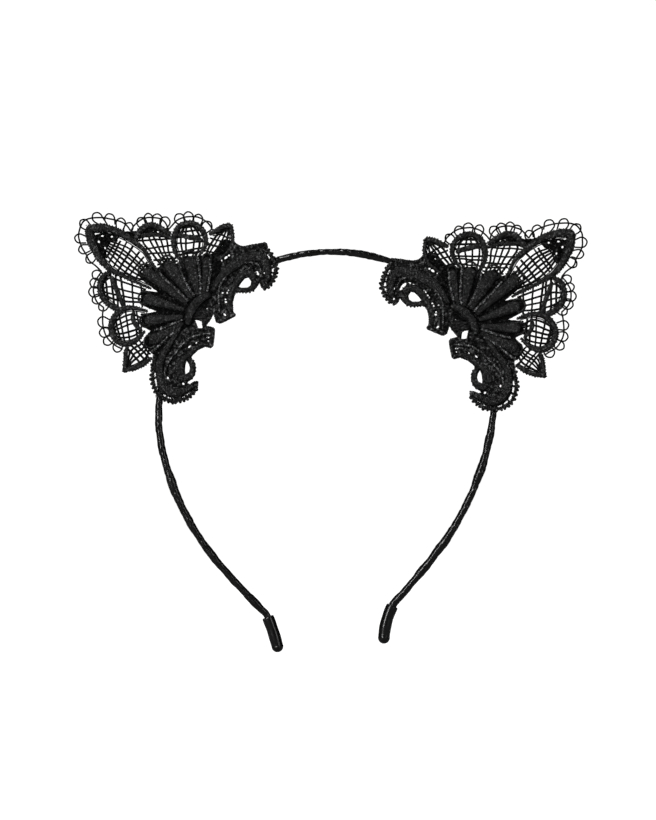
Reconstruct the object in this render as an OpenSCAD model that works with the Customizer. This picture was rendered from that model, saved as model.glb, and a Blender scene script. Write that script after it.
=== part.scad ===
/* [Band] */
// Diameter of the spring steel wire inside the wrap
wire_d = 1.6; // [1.2:0.1:2.2]
// Diameter over the wound satin ribbon
wrap_d = 2.6; // [2.4:0.1:3.4]
// Extra diameter where the ribbon is overlapped
fold_extra = 0.5; // [0.2:0.1:0.8]

/* [End caps] */
// Outside diameter of a vinyl end cap
cap_d = 4.8; // [4:0.1:6]

/* [Lace] */
// Thickness of the net and of the stitched ground
ground_t = 0.5; // [0.3:0.1:0.8]
// Height of a corded outline above the ground
cord_t = 1.2; // [0.6:0.1:1.8]
// Height of a padded satin band above the ground
padded_t = 1.6; // [0.8:0.1:2.2]
// Width of a net thread
thread_w = 0.6; // [0.3:0.05:0.7]
// Height of a picot loop, from its foot under the cord to its apex
picot_h = 4.8; // [3.5:0.1:6]
// Width of a picot loop
picot_w = 4.1; // [2.5:0.1:4.5]
// Diameter of a bead on the edge of a scroll
bead_d = 1.7; // [1.4:0.1:2.4]
// Turn of the left ear against the right ear's mirror image, degrees
left_turn = -3.7; // [-8:0.1:8]

/* [Hidden] */

$fn = 48;
RIGHT = 1;
LEFT = -1;

// The band's centreline: arcs of [radius, degrees], tangent to each other, from the crown to the mouth
// of one cap. A negative radius bends outwards. At the crown the band rises to the right a little.
CROWN_TILT = 2.2;
RIGHT_ARCS = [[74, 32], [56, 67], [112, 30], [260, 6], [-9, 16]];
LEFT_ARCS = [[74, 31], [64, 69], [104, 28], [260, 6], [-6, 24]];
// Each cap bends outwards too: [radius, degrees, straight length after the bend].
RIGHT_TIP = [32, 22, 1];
LEFT_TIP = [90, 7.5, 0.6];
// Neighbouring sections of the band differ by slim in diameter, and lap over each other by section_lap.
slim = 0.04;
section_lap = 0.3;
// Where the ribbon is overlapped: [side, arc start, arc end] in degrees from the crown.
FOLDS = [[RIGHT, 11, 17], [LEFT, 13, 18]];

// The lace lies in a plane in front of the band. Its points are [across, up] or [across, up, width],
// drawn for the right ear. The left ear is the mirror image, turned and squeezed a little about a pivot.
lace_back = wrap_d / 2;
lace_front = lace_back + ground_t;
LEFT_PIVOT = [54, -29];
LEFT_SHIFT = [-5.3, 4.4];
LEFT_SQUEEZE = [0.97, 1.01];

// Corded outlines of the seven petals, from the top inner one round to the bottom one.
// Each is one or more strokes, because an embroidered cord starts again at a sharp corner.
PETALS = [
    [[[46.5, -7.5, 0.9], [43.2, -4.8, 1.1], [40.6, -2, 1.3], [39.8, 2, 1.5], [40.5, 6.8, 1.7]],
     [[40, 6.6, 1.7], [43.4, 5.9, 2], [46, 4.7, 2], [49.5, 3.2, 1.6]]],
    [[[54.5, -5.2, 0.9], [52, -2.6, 1.3], [50.8, 0.8, 1.7], [51.5, 4.4, 1.9], [54, 7.2, 2.1],
      [57.8, 8.3, 2.2], [61.3, 7, 2.3], [63.6, 4, 2.3], [64.1, 0.5, 2.1], [63.6, -3, 1.6],
      [62, -6.5, 1], [60.8, -8.8, 0.8]]],
    [[[65, 4.2, 1.6], [67.5, 5.8, 2], [70.5, 7.7, 2.2], [73.5, 8.5, 2.4], [76.5, 7.4, 2.4],
      [78.8, 4.8, 2.3], [80.4, 2.6, 2]]],
    [[[71.5, -10.5, 0.9], [74, -6, 1.3], [76.3, -1.6, 1.7], [80, 1.8, 2.2], [84.5, 5.2, 2.7],
      [90, 7.9, 3], [95.5, 8.8, 3.4], [100, 8.4, 3]],
     [[98.9, 9.4, 3], [98.2, 4, 3.4], [96.2, -1, 3], [93.8, -5, 2.6], [90.5, -8.3, 2.2],
      [86, -10.9, 1.6], [80, -14, 1.2], [74.5, -16.8, 0.9]]],
    [[[91, -9, 1.8], [94.2, -10.8, 2.1], [95.6, -13.8, 2.2], [95.5, -17, 2.2], [94.2, -20, 2.3],
      [91.6, -22.4, 2.2], [89.8, -23.6, 2], [87.4, -24.4, 1.6]]],
    [[[76.5, -25.6, 0.9], [79.5, -24.6, 1.4], [83, -23.7, 1.9], [87, -24.2, 2.3], [90.3, -26.6, 2.4],
      [92, -30, 2.5], [91.8, -33.6, 2.4], [89.8, -36.6, 2.3], [86.4, -38, 2.2], [83, -37.2, 1.9],
      [80.6, -35.6, 1.5], [78.3, -33, 1]]],
    [[[76.2, -43.8, 1.2], [79.5, -46, 1.8], [83, -47.4, 2.1], [86, -47.9, 2], [88.4, -48.4, 1.7]],
     [[87.9, -49.3, 1.7], [87.2, -45, 1.9], [86.8, -41.5, 1.7], [85.8, -38.6, 1.4]]]
];
// Satin bars that cross inside four of the petals.
PETAL_BARS = [
    [[52.3, 0.8, 1.6], [54.5, 2, 2.2], [58, 2.8, 2.2], [62.8, 4.2, 1.8]],
    [[64.8, 3, 1.5], [68, 4, 1.9], [72, 4.6, 2], [76, 4.6, 1.8], [78.5, 5, 1.4]],
    [[90.8, -10.5, 1.6], [89.9, -13.8, 1.9], [88.6, -17, 2], [87.6, -20, 1.8], [86.6, -23.4, 1.5]],
    [[82.4, -25.2, 1.4], [83, -28, 1.8], [81.8, -30.8, 1.8], [79.6, -33.2, 1.4]]
];
// Net fields, one in each petal: [one side, the other side, long threads, cross threads].
NETS = [
    [[[46, -6], [42.5, -3], [40.6, 0.5], [40.9, 5.5]],
     [[52.8, -4], [51, -0.5], [47.5, 3.6], [41.8, 6.2]], 4, 5],
    [[[55, -5.5], [52, -2], [51, 3], [55, 7.6]],
     [[60.5, -6.5], [63.3, -3], [64, 3], [60, 7.7]], 4, 7],
    [[[62.5, -7.5], [64.2, -3], [64.6, 3], [70, 7.5]],
     [[70.8, -8.5], [74.5, -3.5], [79, 2.5], [76.5, 7.4]], 5, 7],
    [[[74, -9.5], [77, -3.5], [82.5, 1.8], [89.5, 4]],
     [[77.5, -14], [84, -11.8], [89.5, -7.6], [93.2, -2.2]], 6, 8],
    [[[76.8, -15.6], [86, -11.5], [91.5, -9.3], [95, -13]],
     [[77.2, -23.9], [85, -23.8], [91, -22.4], [95.2, -18.5]], 4, 7],
    [[[79.5, -26.5], [84, -24], [90, -26.5], [92, -31]],
     [[79.5, -34], [83, -37], [88, -37.3], [91.5, -34]], 5, 6],
    [[[80, -36.5], [83, -37.8], [86, -39.5], [86.8, -45]],
     [[76.5, -41.5], [77.5, -44.5], [80.5, -46.5], [86, -48]], 4, 5]
];
// Patches stitched solid inside the petals: in the tip, over the third petal's bar, between those two,
// and the leaf in the first petal.
PATCHES = [
    [[86, 5.2], [87.6, 3], [90, 2.8], [91.4, 1], [92.3, -1.4], [92.2, -3.4], [94.6, -3.4], [96.4, 1.6],
     [96.8, 6], [92, 6.8]],
    [[64.6, 2.4], [66, 5], [70, 7.6], [74, 8.2], [78, 6.2], [80, 3], [76.5, 3.7], [72, 4], [68, 3.2]],
    [[79.2, 6.4], [84.2, 6.6], [84.8, 3.6], [80, 2]],
    [[40.3, 0.2], [42.5, 1], [45.2, 0.4], [46, -1.8], [47.4, -3.8], [49.4, -5], [44, -5.6], [42, -4],
     [40.5, -2]]
];
// Small openings in those patches: [x, height, length, width, degrees].
PATCH_SLITS = [
    [89.5, 4.9, 0.9, 0.7, 0], [93.4, 5.4, 1.1, 0.7, 0], [95, 3.2, 1, 0.8, 60],
    [72.4, 6.3, 1.1, 0.8, 30], [70.4, 5.6, 1.2, 0.7, -20], [44, -1.6, 0.7, 0.6, 0],
    [92.6, 0.6, 0.9, 0.6, 70]
];
// Fan ribs: [foot, bulb centre, bulb diameter].
RIBS = [
    [[53.2, -20], [51, -7], 3.2],
    [[55.6, -20.6], [57.8, -7], 5],
    [[58.2, -21.8], [66.4, -8.2], 5.2],
    [[60.4, -23.6], [75.8, -10.2], 4.6],
    [[61.6, -26], [76.2, -20.7], 4.6],
    [[62.2, -28.6], [76.4, -29.2], 4.4],
    [[62.2, -31.2], [75.2, -37], 4.4]
];
// Stitched ground behind the fan.
GROUND = [
    [49.5, -20], [46, -14.5], [44.5, -8.5], [48.5, -4.3], [54, -5], [60, -4.6], [63.5, -7.5], [68, -5.4],
    [71, -8.5], [76, -7.5], [79, -12],
    [76.4, -14.6], [71.8, -18.3], [78.6, -16.9], [79.6, -22.6], [76.2, -24.4], [72.8, -25.9],
    [79.5, -26.4], [79.5, -31.5], [76, -33.2], [79, -36], [78, -40],
    [75.5, -43], [71.5, -41.5], [66.5, -35.8], [60, -32.6], [57, -30], [52, -25.5]
];
// Satin band round the foot of the fan.
FAN_BASE = [[50.3, -20.3, 2.2], [54.3, -21.8, 3.2], [57.8, -25, 3.6], [59.8, -28.5, 3.2], [60.5, -32, 2]];
BUD = [
    [49.6, -28.2], [51.5, -26.4], [54, -25.6], [57.4, -28], [57.6, -30.2], [55.8, -30.4], [54.8, -31],
    [54.6, -33.6], [53, -32.8], [51, -30.4]
];
// The two scrolls, each with the ground inside it, its eyelet, its collar and its edge of beads.
SCROLL_UPPER = [
    [49.5, -19.5, 1.6], [47, -15.5, 2.6], [43.5, -12, 3.6], [39, -9, 4.2], [34.5, -6.9, 4.2],
    [30.5, -6.6, 4], [27.6, -8.2, 3.6], [26.4, -11.3, 3], [26.4, -14.5, 2.4], [27.2, -17.2, 1.6]
];
SCROLL_LOWER = [
    [64, -33, 1.6], [68, -38.5, 2.2], [71.5, -43, 2.8], [73.3, -47.5, 3.2], [73.2, -52, 3.4],
    [71.6, -56, 3.6], [68.3, -58.4, 3.6], [64.8, -58.1, 3], [61.8, -56.8, 2.4], [59.6, -56, 2.2]
];
// Ground of each scroll, its small openings as [across, up, length, width, slope in degrees],
// and the teardrop hole of its eyelet.
SCROLL_GROUND = [
    [[26.3, -1.4], [29, -1.8], [32, -2.1], [35, -2.5], [37.2, -2.3], [38.8, -0.9], [39.8, 0.4], [41, -2.6],
     [43.8, -5.4], [48.5, -4.3], [44.5, -8.5], [46, -14.5], [49.5, -20], [52, -25.5], [51, -27],
     [49.4, -28.6],
     [48.6, -31.4], [47.3, -32], [44, -30.8], [41.2, -29.2], [41.8, -27.5], [41.7, -24], [41, -21.8],
     [39.8, -20], [37.8, -20.2], [35.3, -20.4], [32.6, -19.7], [31, -18.2], [29.8, -16.6], [29.2, -18.7],
     [28.2, -19.6], [26.6, -18.8], [25.4, -17], [25, -14.5], [24.7, -11.5], [25.1, -8.8], [26.5, -6.2],
     [26.6, -4.8], [25.8, -3.4]],
    [[49.9, -33.9], [53, -33], [54.5, -33.9], [56.8, -33.7], [57.6, -30.6], [60, -32.6], [66.5, -35.8],
     [71.5, -41.5], [75.5, -43], [76, -46.2], [74.9, -48.5], [74.8, -52], [74.5, -55], [72.8, -58],
     [70.2, -59.8], [67.4, -60.8], [65, -60.2], [62.6, -58.9], [60.3, -57.6], [58.4, -57.4], [58.1, -54.6],
     [59.6, -54.7], [61.3, -55.6], [62.8, -55.2], [62.3, -54.2], [60.6, -53.3], [59.3, -52], [58.7, -49.8],
     [58.9, -47.3], [60.4, -45], [59.8, -44], [57.3, -42], [54, -40.7], [51.6, -41.5], [50.7, -39], [50, -36]]
];
SLITS = [
    [[31.2, -12.6, 3.9, 1.3, 49], [35.5, -12, 4.8, 0.8, -28], [40, -14.6, 1.6, 0.7, -45],
     [41.1, -16.4, 2.2, 0.8, -50], [43.2, -19.9, 2.5, 0.8, -60], [45.4, -20.2, 0.8, 0.7, 0],
     [44.3, -23.6, 2.4, 0.9, 80], [45.1, -28.8, 1.4, 0.7, 45], [41.8, -5.5, 0.9, 0.7, 0],
     [43.1, -6.3, 1.6, 0.9, -35], [45.2, -7.2, 1.2, 1, 60], [27.5, -13.4, 0.9, 0.8, 0],
     [27.5, -17.5, 0.8, 0.8, 0]],
    [[66.5, -36.6, 1.6, 0.6, -40], [70, -40.6, 1.4, 0.8, -40], [72.9, -43.3, 1, 0.8, 0],
     [52.7, -37.4, 1.3, 0.5, 0], [52.8, -38.8, 1, 0.5, 0], [57.3, -39.1, 1.3, 0.6, -30],
     [60.5, -40.6, 1.4, 0.6, -40], [70.2, -52.4, 1, 0.7, 80], [64, -55.1, 1, 0.8, 40],
     [64.4, -57.1, 1.1, 0.7, -30], [60.6, -55.9, 1.1, 0.5, -35]]
];
EYELET_HOLES = [
    [[34.4, -14.8], [33.4, -16.3], [33.7, -17.8], [35, -18.6], [37.5, -18.6], [38.5, -18.1],
     [37.3, -16.5], [35.8, -15.1]],
    [[62, -46.2], [61.2, -47.5], [60.9, -49], [61.3, -50.5], [62.8, -51.3], [62.9, -49.9], [62.6, -47.7]]
];
EYELET_UPPER = [
    [[42.6, -28, 2], [42.6, -23, 2.2], [41, -19.2, 2.4], [38.9, -15.7, 2.6], [36.2, -13.4, 2.6],
     [33.2, -13.4, 2.8], [31.7, -15.6, 3]],
    [[31.6, -16.2, 3], [32.4, -18.4, 2.4], [34.6, -19.6, 2], [37.5, -19.5, 1.8], [40.6, -19.4, 1.6]]
];
EYELET_LOWER = [
    [[52.2, -40.1, 1.6], [55, -40, 1.6], [58, -41.5, 1.8], [60.9, -43.9, 1.8], [63.8, -45.6, 2.6],
     [65, -48.8, 3.8], [65, -51.6, 3.6]],
    [[65, -52, 3], [62.8, -52.8, 2.6], [60.7, -51.8, 2.4], [59.8, -49.4, 2.2], [60, -46.8, 1.8],
     [61.3, -45, 1.3]]
];
COLLAR_UPPER = [
    [[41, -19], [41.8, -22], [42.2, -25], [41.6, -29]],
    [[46, -17.5], [47, -21], [47.4, -25], [47.4, -31.4]]
];
COLLAR_LOWER = [
    [[62, -44], [58.5, -41.7], [55.5, -40.4], [51.6, -40.9]],
    [[63.5, -39.5], [59.5, -36.9], [55, -35.3], [50.5, -34.2]]
];
COLLAR_END_UPPER = [[40.6, -28.8, 1.8], [44, -30.2, 1.8], [47.6, -31.7, 1.8]];
COLLAR_END_LOWER = [[50.3, -33.6, 1.8], [50.7, -37, 1.8], [51.6, -41.4, 1.8]];
// Beaded edge cords: they stand clear of the scroll, and one more lies on the ground along the top.
BEADS_UPPER = [
    [25.9, -4.2], [24.7, -5.9], [23.7, -7.8], [23, -10], [22.6, -12.1], [23.2, -14.4], [24, -16.2],
    [25.1, -17.6], [26.9, -19.1], [28.2, -19.4]
];
TOP_EDGE = [[26.4, -1.7], [29, -2], [32, -2.4], [35, -2.7], [37.2, -2.4], [38.6, -1.3]];
BEADS_LOWER = [
    [76, -46.2], [75.9, -48.4], [76.6, -50.3], [76.7, -52], [76.6, -53.9], [76.1, -55.7], [75.2, -58],
    [73.3, -60.1], [71.2, -61.2], [69.2, -61.9], [66.8, -61.8], [64.4, -61.5], [62.4, -60.6], [60.7, -59.4],
    [59.4, -58.2], [58.7, -56.6]
];
// Running thread of the picot edge, one stroke a petal, and the apex of every loop: [petal centre, apexes].
EDGE_THREADS = [
    [[47.6, 4.6], [48.9, 7], [51, 9], [54, 10.5], [58, 10.9], [61.5, 10.2], [64.2, 8.2], [66, 6.2]],
    [[66, 6.2], [67, 9], [69, 10.8], [72, 11.4], [75, 11.3], [78.5, 10], [81.6, 6.8]],
    [[81.6, 6.8], [83.4, 9.2], [87, 11.2], [91, 12.3], [96, 12.8], [100.4, 12], [102.6, 9], [103.1, 5.5],
     [102.3, 2], [100.5, -1.5], [99.6, -4], [97, -6.2], [94.6, -8.6]],
    [[94.6, -8.6], [96.8, -11], [98.2, -14], [98.4, -17.4], [97.2, -20.6], [94.6, -23]],
    [[94.6, -23], [95.4, -26], [95.6, -30], [94.6, -34], [92, -37.4], [88, -39.8]]
];
PICOTS = [
    [[57, 0], [[48.5, 8], [53, 11.5], [57.6, 12.8], [62.3, 12]]],
    [[72, 2], [[66.4, 11.2], [70, 12.7], [74.1, 13.2], [78, 11.5]]],
    [[86, 0], [[81.2, 9.8], [85, 12], [90.5, 14], [96.5, 14.4]]],
    [[92, 2], [[102, 12], [104.8, 5.5], [103.5, 0.3], [100.5, -4.5]]],
    [[88, -16], [[98.4, -8.8], [99.7, -12.5], [100.5, -16.4], [99.2, -20.2], [96.6, -23.5]]],
    [[86, -31], [[97.5, -27.9], [97.2, -32.9], [95.5, -37.3], [90.8, -40.8]]]
];
// Where the lace is sewn to the band: lengths from the crown along its centreline.
STITCHES_AT = [31, 44, 57, 70, 83, 95];

function unit(v) = v / norm(v);
function width_of(p) = len(p) > 2 ? p[2] : thread_w;

// A point of the right ear, carried to the asked side.
function placed(side, p) =
    side == RIGHT ? [p[0], p[1], width_of(p)] :
    let (u = (p[0] - LEFT_PIVOT[0]) * LEFT_SQUEEZE[0], v = (p[1] - LEFT_PIVOT[1]) * LEFT_SQUEEZE[1])
    [-(LEFT_PIVOT[0] + LEFT_SHIFT[0] + u * cos(left_turn) - v * sin(left_turn)),
     LEFT_PIVOT[1] + LEFT_SHIFT[1] + u * sin(left_turn) + v * cos(left_turn),
     width_of(p)];
function placed_all(side, points) = [for (p = points) placed(side, p)];

// A smooth curve through every point, with steps pieces between two points.
function past_end(p, i) =
    i < 0 ? 2 * p[0] - p[1] :
    i >= len(p) ? 2 * p[len(p) - 1] - p[len(p) - 2] : p[i];
function between(a, b, c, d, t) =
    0.5 * (2 * b + (c - a) * t + (2 * a - 5 * b + 4 * c - d) * t * t + (3 * b - a - 3 * c + d) * t * t * t);
function curve(p, steps = 4) = concat(
    [for (i = [0:len(p) - 2]) for (k = [0:steps - 1])
        between(past_end(p, i - 1), p[i], p[i + 1], past_end(p, i + 2), k / steps)],
    [p[len(p) - 1]]);

// The outline of a stroke whose width follows its third coordinate.
function heading(c, i) =
    let (a = c[max(i - 1, 0)], b = c[min(i + 1, len(c) - 1)]) unit([b[0] - a[0], b[1] - a[1]]);
function bank(c, i, s) =
    let (t = heading(c, i)) [c[i][0] - s * t[1] * c[i][2] / 2, c[i][1] + s * t[0] * c[i][2] / 2];
function stroke_outline(c) = concat(
    [for (i = [0:len(c) - 1]) bank(c, i, 1)],
    [for (i = [len(c) - 1:-1:0]) bank(c, i, -1)]);
function scaled_width(points, k) = [for (p = points) [p[0], p[1], width_of(p) * k]];

module stroke(side, points, steps = 4) {
    polygon(stroke_outline(curve(placed_all(side, points), steps)));
}

// A flat layer of the lace: depth is measured forward from the middle of the band.
module layer(depth, thickness) {
    rotate([90, 0, 0]) translate([0, 0, depth]) linear_extrude(thickness) children();
}

// A cord or satin band with a raised middle.
module padded(side, points, height, steps = 4) {
    layer(lace_front, height * 0.65) stroke(side, points, steps);
    layer(lace_front + height * 0.65, height * 0.35) stroke(side, scaled_width(points, 0.55), steps);
}

// Band path: a state is [point, heading in degrees].
function arc_centre(state, r) = state[0] + r * [sin(state[1]), -cos(state[1])];
function arc_end(state, r, a) =
    let (turned = state[1] - sign(r) * a, c = arc_centre(state, r))
    [c - r * [sin(turned), -cos(turned)], turned];
function tip_of(side) = side == RIGHT ? RIGHT_TIP : LEFT_TIP;
function arcs_of(side) =
    concat(side == RIGHT ? RIGHT_ARCS : LEFT_ARCS, [[-tip_of(side)[0], tip_of(side)[1]]]);
function after(side, i) =
    i == 0 ? [[0, wrap_d / 2], side * CROWN_TILT] :
    let (a = arcs_of(side)[i - 1]) arc_end(after(side, i - 1), a[0], a[1]);
// The state at a length along the centreline.
function along(side, length, i = 0) =
    let (a = arcs_of(side)[i], run = abs(a[0]) * a[1] * PI / 180)
    length <= run ? arc_end(after(side, i), a[0], a[1] * length / run) : along(side, length - run, i + 1);

// Children are a round section; they are swept along one arc that starts at the given state.
// A slim section runs on by lap at both ends, into the full sections on either side of it.
module swept_arc(state, r, a, lap = 0) {
    c = arc_centre(state, r);
    over = lap / abs(r) * 180 / PI;
    start = r > 0 ? state[1] + 90 - a : state[1] - 90;
    rotate([90, 0, 0]) translate([c[0], c[1], 0]) rotate(start - over)
        rotate_extrude(angle = a + 2 * over) translate([abs(r), 0]) children();
}

module swept_straight(state, length, lap = 0) {
    rotate([90, 0, 0]) translate([state[0][0], state[0][1], 0]) rotate(state[1]) rotate([0, 90, 0])
        translate([0, 0, -lap]) linear_extrude(length + lap) children();
}

module on_side(side) {
    flip = side == RIGHT ? 0 : 1;
    mirror([flip, 0, 0]) children();
}

// One side of the band, from the crown to the end inside the cap. The first child is the full
// section and the second is the slim one, and they take turns all the way along the band.
module band_side(side, short) {
    arcs = arcs_of(side);
    first = side == RIGHT ? 0 : 1;
    on_side(side) {
        for (i = [0:len(arcs) - 1]) {
            turn = (i + first) % 2;
            swept_arc(after(side, i), arcs[i][0], arcs[i][1], turn * section_lap) children(turn);
        }
        turn = (len(arcs) + first) % 2;
        swept_straight(after(side, len(arcs)), tip_of(side)[2] - short, turn * section_lap) children(turn);
    }
}

module band_wire() {
    color([0.55, 0.55, 0.58]) for (side = [LEFT, RIGHT]) band_side(side, 0.4) {
        circle(d = wire_d);
        circle(d = wire_d - slim);
    }
}

module tube_section(outer, inner) {
    difference() {
        circle(d = outer);
        circle(d = inner);
    }
}

module ribbon_wrap() {
    color([0.06, 0.06, 0.06]) {
        for (side = [LEFT, RIGHT]) band_side(side, 0) {
            tube_section(wrap_d, wire_d);
            tube_section(wrap_d - slim, wire_d + slim);
        }
        for (fold = FOLDS) {
            r = arcs_of(fold[0])[0][0];
            on_side(fold[0]) swept_arc(arc_end(after(fold[0], 0), r, fold[1]), r, fold[2] - fold[1])
                tube_section(wrap_d + fold_extra, wire_d + slim);
        }
    }
}

// A moulded cap: a bent tube with a domed end, open at the mouth.
module tip_cap(side) {
    count = len(arcs_of(side));
    bend = after(side, count - 1);
    run = after(side, count);
    length = tip_of(side)[2];
    color([0.1, 0.1, 0.1]) on_side(side) {
        swept_arc(bend, -tip_of(side)[0], tip_of(side)[1]) tube_section(cap_d, wrap_d);
        swept_straight(run, length, section_lap) tube_section(cap_d - slim, wrap_d + slim);
        rotate([90, 0, 0]) translate([run[0][0], run[0][1], 0]) rotate(run[1]) rotate([0, 90, 0])
            translate([0, 0, length]) rotate_extrude() quarter_disc((cap_d - slim) / 2);
    }
}

module quarter_disc(r) {
    intersection() {
        circle(r);
        square(r);
    }
}

module petal(side, i) {
    color([0.09, 0.09, 0.09]) for (part = PETALS[i]) padded(side, part, cord_t, 3);
}

module petal_bars(side) {
    color([0.11, 0.11, 0.11]) for (bar = PETAL_BARS) layer(lace_front, cord_t * 0.6) stroke(side, bar);
}

// Threads that run between two sides of a field, and threads that cross from side to side.
module threads(side, field, long_threads, cross_threads, width) {
    a = curve(placed_all(side, field[0]), 2);
    b = curve(placed_all(side, field[1]), 2);
    last = len(a) - 1;
    for (k = [1:long_threads]) {
        f = k / (long_threads + 1);
        polygon(stroke_outline([for (i = [0:last]) let (p = a[i] + (b[i] - a[i]) * f) [p[0], p[1], width]]));
    }
    for (k = [0:cross_threads - 1]) {
        at = (k + 0.5) / cross_threads * last;
        i = floor(at);
        p = a[i] + (a[i + 1] - a[i]) * (at - i);
        q = b[i] + (b[i + 1] - b[i]) * (at - i);
        polygon(stroke_outline([[p[0], p[1], width], [q[0], q[1], width]]));
    }
}

module net(side) {
    color([0.13, 0.13, 0.13]) for (field = NETS) {
        layer(lace_back, ground_t) threads(side, field, field[2], field[3], thread_w);
    }
}

module ground(side) {
    color([0.05, 0.05, 0.05]) layer(lace_back, ground_t) {
        flat(side, GROUND);
        difference() {
            union() for (patch = PATCHES) flat(side, patch);
            for (slit = PATCH_SLITS) flat(side, lens(slit));
        }
    }
}

// One picot loop: out from a foot, round the apex and back to the other foot.
function picot(centre, apex) =
    let (d = unit(apex - centre), n = [-d[1], d[0]] * picot_w)
    [apex - d * picot_h + n * 0.36, apex - d * picot_h * 0.6 + n * 0.5,
     apex - d * picot_h * 0.22 + n * 0.43, apex, apex - d * picot_h * 0.22 - n * 0.43,
     apex - d * picot_h * 0.6 - n * 0.5, apex - d * picot_h - n * 0.36];

module picots(side) {
    color([0.13, 0.13, 0.13]) layer(lace_back, ground_t) {
        for (thread = EDGE_THREADS) stroke(side, thread, 2);
        for (group = PICOTS) for (apex = group[1]) stroke(side, picot(group[0], apex), 2);
    }
}

// A fan rib is narrow at its foot and swells to a round bulb.
module fan_ribs(side) {
    color([0.12, 0.12, 0.12]) for (rib = RIBS) {
        middle = (rib[0] + rib[1]) / 2;
        points = [
            [rib[0][0], rib[0][1], 1.4], [middle[0], middle[1], rib[2] * 0.72], [rib[1][0], rib[1][1], rib[2]]
        ];
        bulb = placed(side, rib[1]);
        padded(side, points, padded_t, 3);
        layer(lace_front, padded_t * 0.65) translate([bulb[0], bulb[1]]) circle(d = rib[2]);
        layer(lace_front + padded_t * 0.65, padded_t * 0.35)
            translate([bulb[0], bulb[1]]) circle(d = rib[2] * 0.55);
    }
}

// A corded ring at the outer end of each bulb.
module rib_rings(side) {
    color([0.1, 0.1, 0.1]) for (rib = RIBS) {
        out = unit(rib[1] - rib[0]);
        centre = placed(side, rib[1] + out * rib[2] * 0.42);
        layer(lace_front, cord_t * 0.5)
            translate([centre[0], centre[1]]) tube_section(rib[2] + 0.6, rib[2] - 1.4);
    }
}

module fan_base(side) {
    color([0.12, 0.12, 0.12]) padded(side, FAN_BASE, padded_t);
}

module scroll(side, points) {
    color([0.12, 0.12, 0.12]) padded(side, points, padded_t);
}

// The outline of a small pointed opening.
function lens(slit) =
    let (c = cos(slit[4]), s = sin(slit[4]))
    [for (a = [0:45:315]) let (u = cos(a) * slit[2] / 2, v = sin(a) * slit[3] / 2)
        [slit[0] + u * c - v * s, slit[1] + u * s + v * c]];

module flat(side, outline) {
    polygon([for (p = placed_all(side, outline)) [p[0], p[1]]]);
}

module scroll_ground(side) {
    color([0.05, 0.05, 0.05]) layer(lace_back, ground_t) for (i = [0, 1]) difference() {
        flat(side, SCROLL_GROUND[i]);
        flat(side, EYELET_HOLES[i]);
        for (slit = SLITS[i]) flat(side, lens(slit));
    }
}

// Beads at an even pitch along each line of points, threaded on a cord.
module beads(side, lines) {
    color([0.08, 0.08, 0.08]) for (points = lines) {
        layer(lace_back, ground_t * 2) for (p = curve(placed_all(side, points), 2))
            translate([p[0], p[1]]) circle(d = bead_d);
        layer(lace_back, ground_t) stroke(side, [for (p = points) [p[0], p[1], bead_d * 0.7]], 2);
    }
}

module eyelet(side, parts) {
    color([0.09, 0.09, 0.09]) for (part = parts) layer(lace_front, cord_t) stroke(side, part, 3);
}

module collar(side, field, end) {
    color([0.1, 0.1, 0.1]) {
        layer(lace_front, cord_t * 0.6) threads(side, field, 3, 6, 0.8);
        layer(lace_front, cord_t) stroke(side, end, 2);
    }
}

module bud(side) {
    color([0.1, 0.1, 0.1]) layer(lace_front, cord_t * 0.7) flat(side, BUD);
}

// Thread loops that tie the ground of the lace to the band.
module stitches(side) {
    thread = 0.5;
    color([0.16, 0.16, 0.16]) on_side(side) for (length = STITCHES_AT) {
        at = along(side, length);
        rotate([90, 0, 0]) translate([at[0][0], at[0][1], 0]) rotate(at[1]) rotate([0, 90, 0])
            translate([0, 0, -thread / 2]) linear_extrude(thread) tie_section(thread);
    }
}

// A tie wraps the back of the ribbon, with both of its ends in the ground of the lace.
module tie_section(thread) {
    difference() {
        circle(d = wrap_d + 2 * thread);
        circle(d = wrap_d);
    }
}

band_wire();
ribbon_wrap();
tip_cap(LEFT);  // left_tip_cap
tip_cap(RIGHT);  // right_tip_cap
petal(LEFT, 0);  // left_petal_1
petal(LEFT, 1);  // left_petal_2
petal(LEFT, 2);  // left_petal_3
petal(LEFT, 3);  // left_petal_4
petal(LEFT, 4);  // left_petal_5
petal(LEFT, 5);  // left_petal_6
petal(LEFT, 6);  // left_petal_7
petal_bars(LEFT);  // left_petal_bars
net(LEFT);  // left_net
ground(LEFT);  // left_ground
picots(LEFT);  // left_picots
fan_ribs(LEFT);  // left_fan_ribs
rib_rings(LEFT);  // left_rib_rings
fan_base(LEFT);  // left_fan_base
scroll(LEFT, SCROLL_UPPER);  // left_scroll_upper
scroll(LEFT, SCROLL_LOWER);  // left_scroll_lower
scroll_ground(LEFT);  // left_scroll_ground
beads(LEFT, [BEADS_UPPER, TOP_EDGE]);  // left_beads_upper
beads(LEFT, [BEADS_LOWER]);  // left_beads_lower
eyelet(LEFT, EYELET_UPPER);  // left_eyelet_upper
eyelet(LEFT, EYELET_LOWER);  // left_eyelet_lower
collar(LEFT, COLLAR_UPPER, COLLAR_END_UPPER);  // left_collar_upper
collar(LEFT, COLLAR_LOWER, COLLAR_END_LOWER);  // left_collar_lower
bud(LEFT);  // left_bud
stitches(LEFT);  // left_stitches
petal(RIGHT, 0);  // right_petal_1
petal(RIGHT, 1);  // right_petal_2
petal(RIGHT, 2);  // right_petal_3
petal(RIGHT, 3);  // right_petal_4
petal(RIGHT, 4);  // right_petal_5
petal(RIGHT, 5);  // right_petal_6
petal(RIGHT, 6);  // right_petal_7
petal_bars(RIGHT);  // right_petal_bars
net(RIGHT);  // right_net
ground(RIGHT);  // right_ground
picots(RIGHT);  // right_picots
fan_ribs(RIGHT);  // right_fan_ribs
rib_rings(RIGHT);  // right_rib_rings
fan_base(RIGHT);  // right_fan_base
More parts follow.
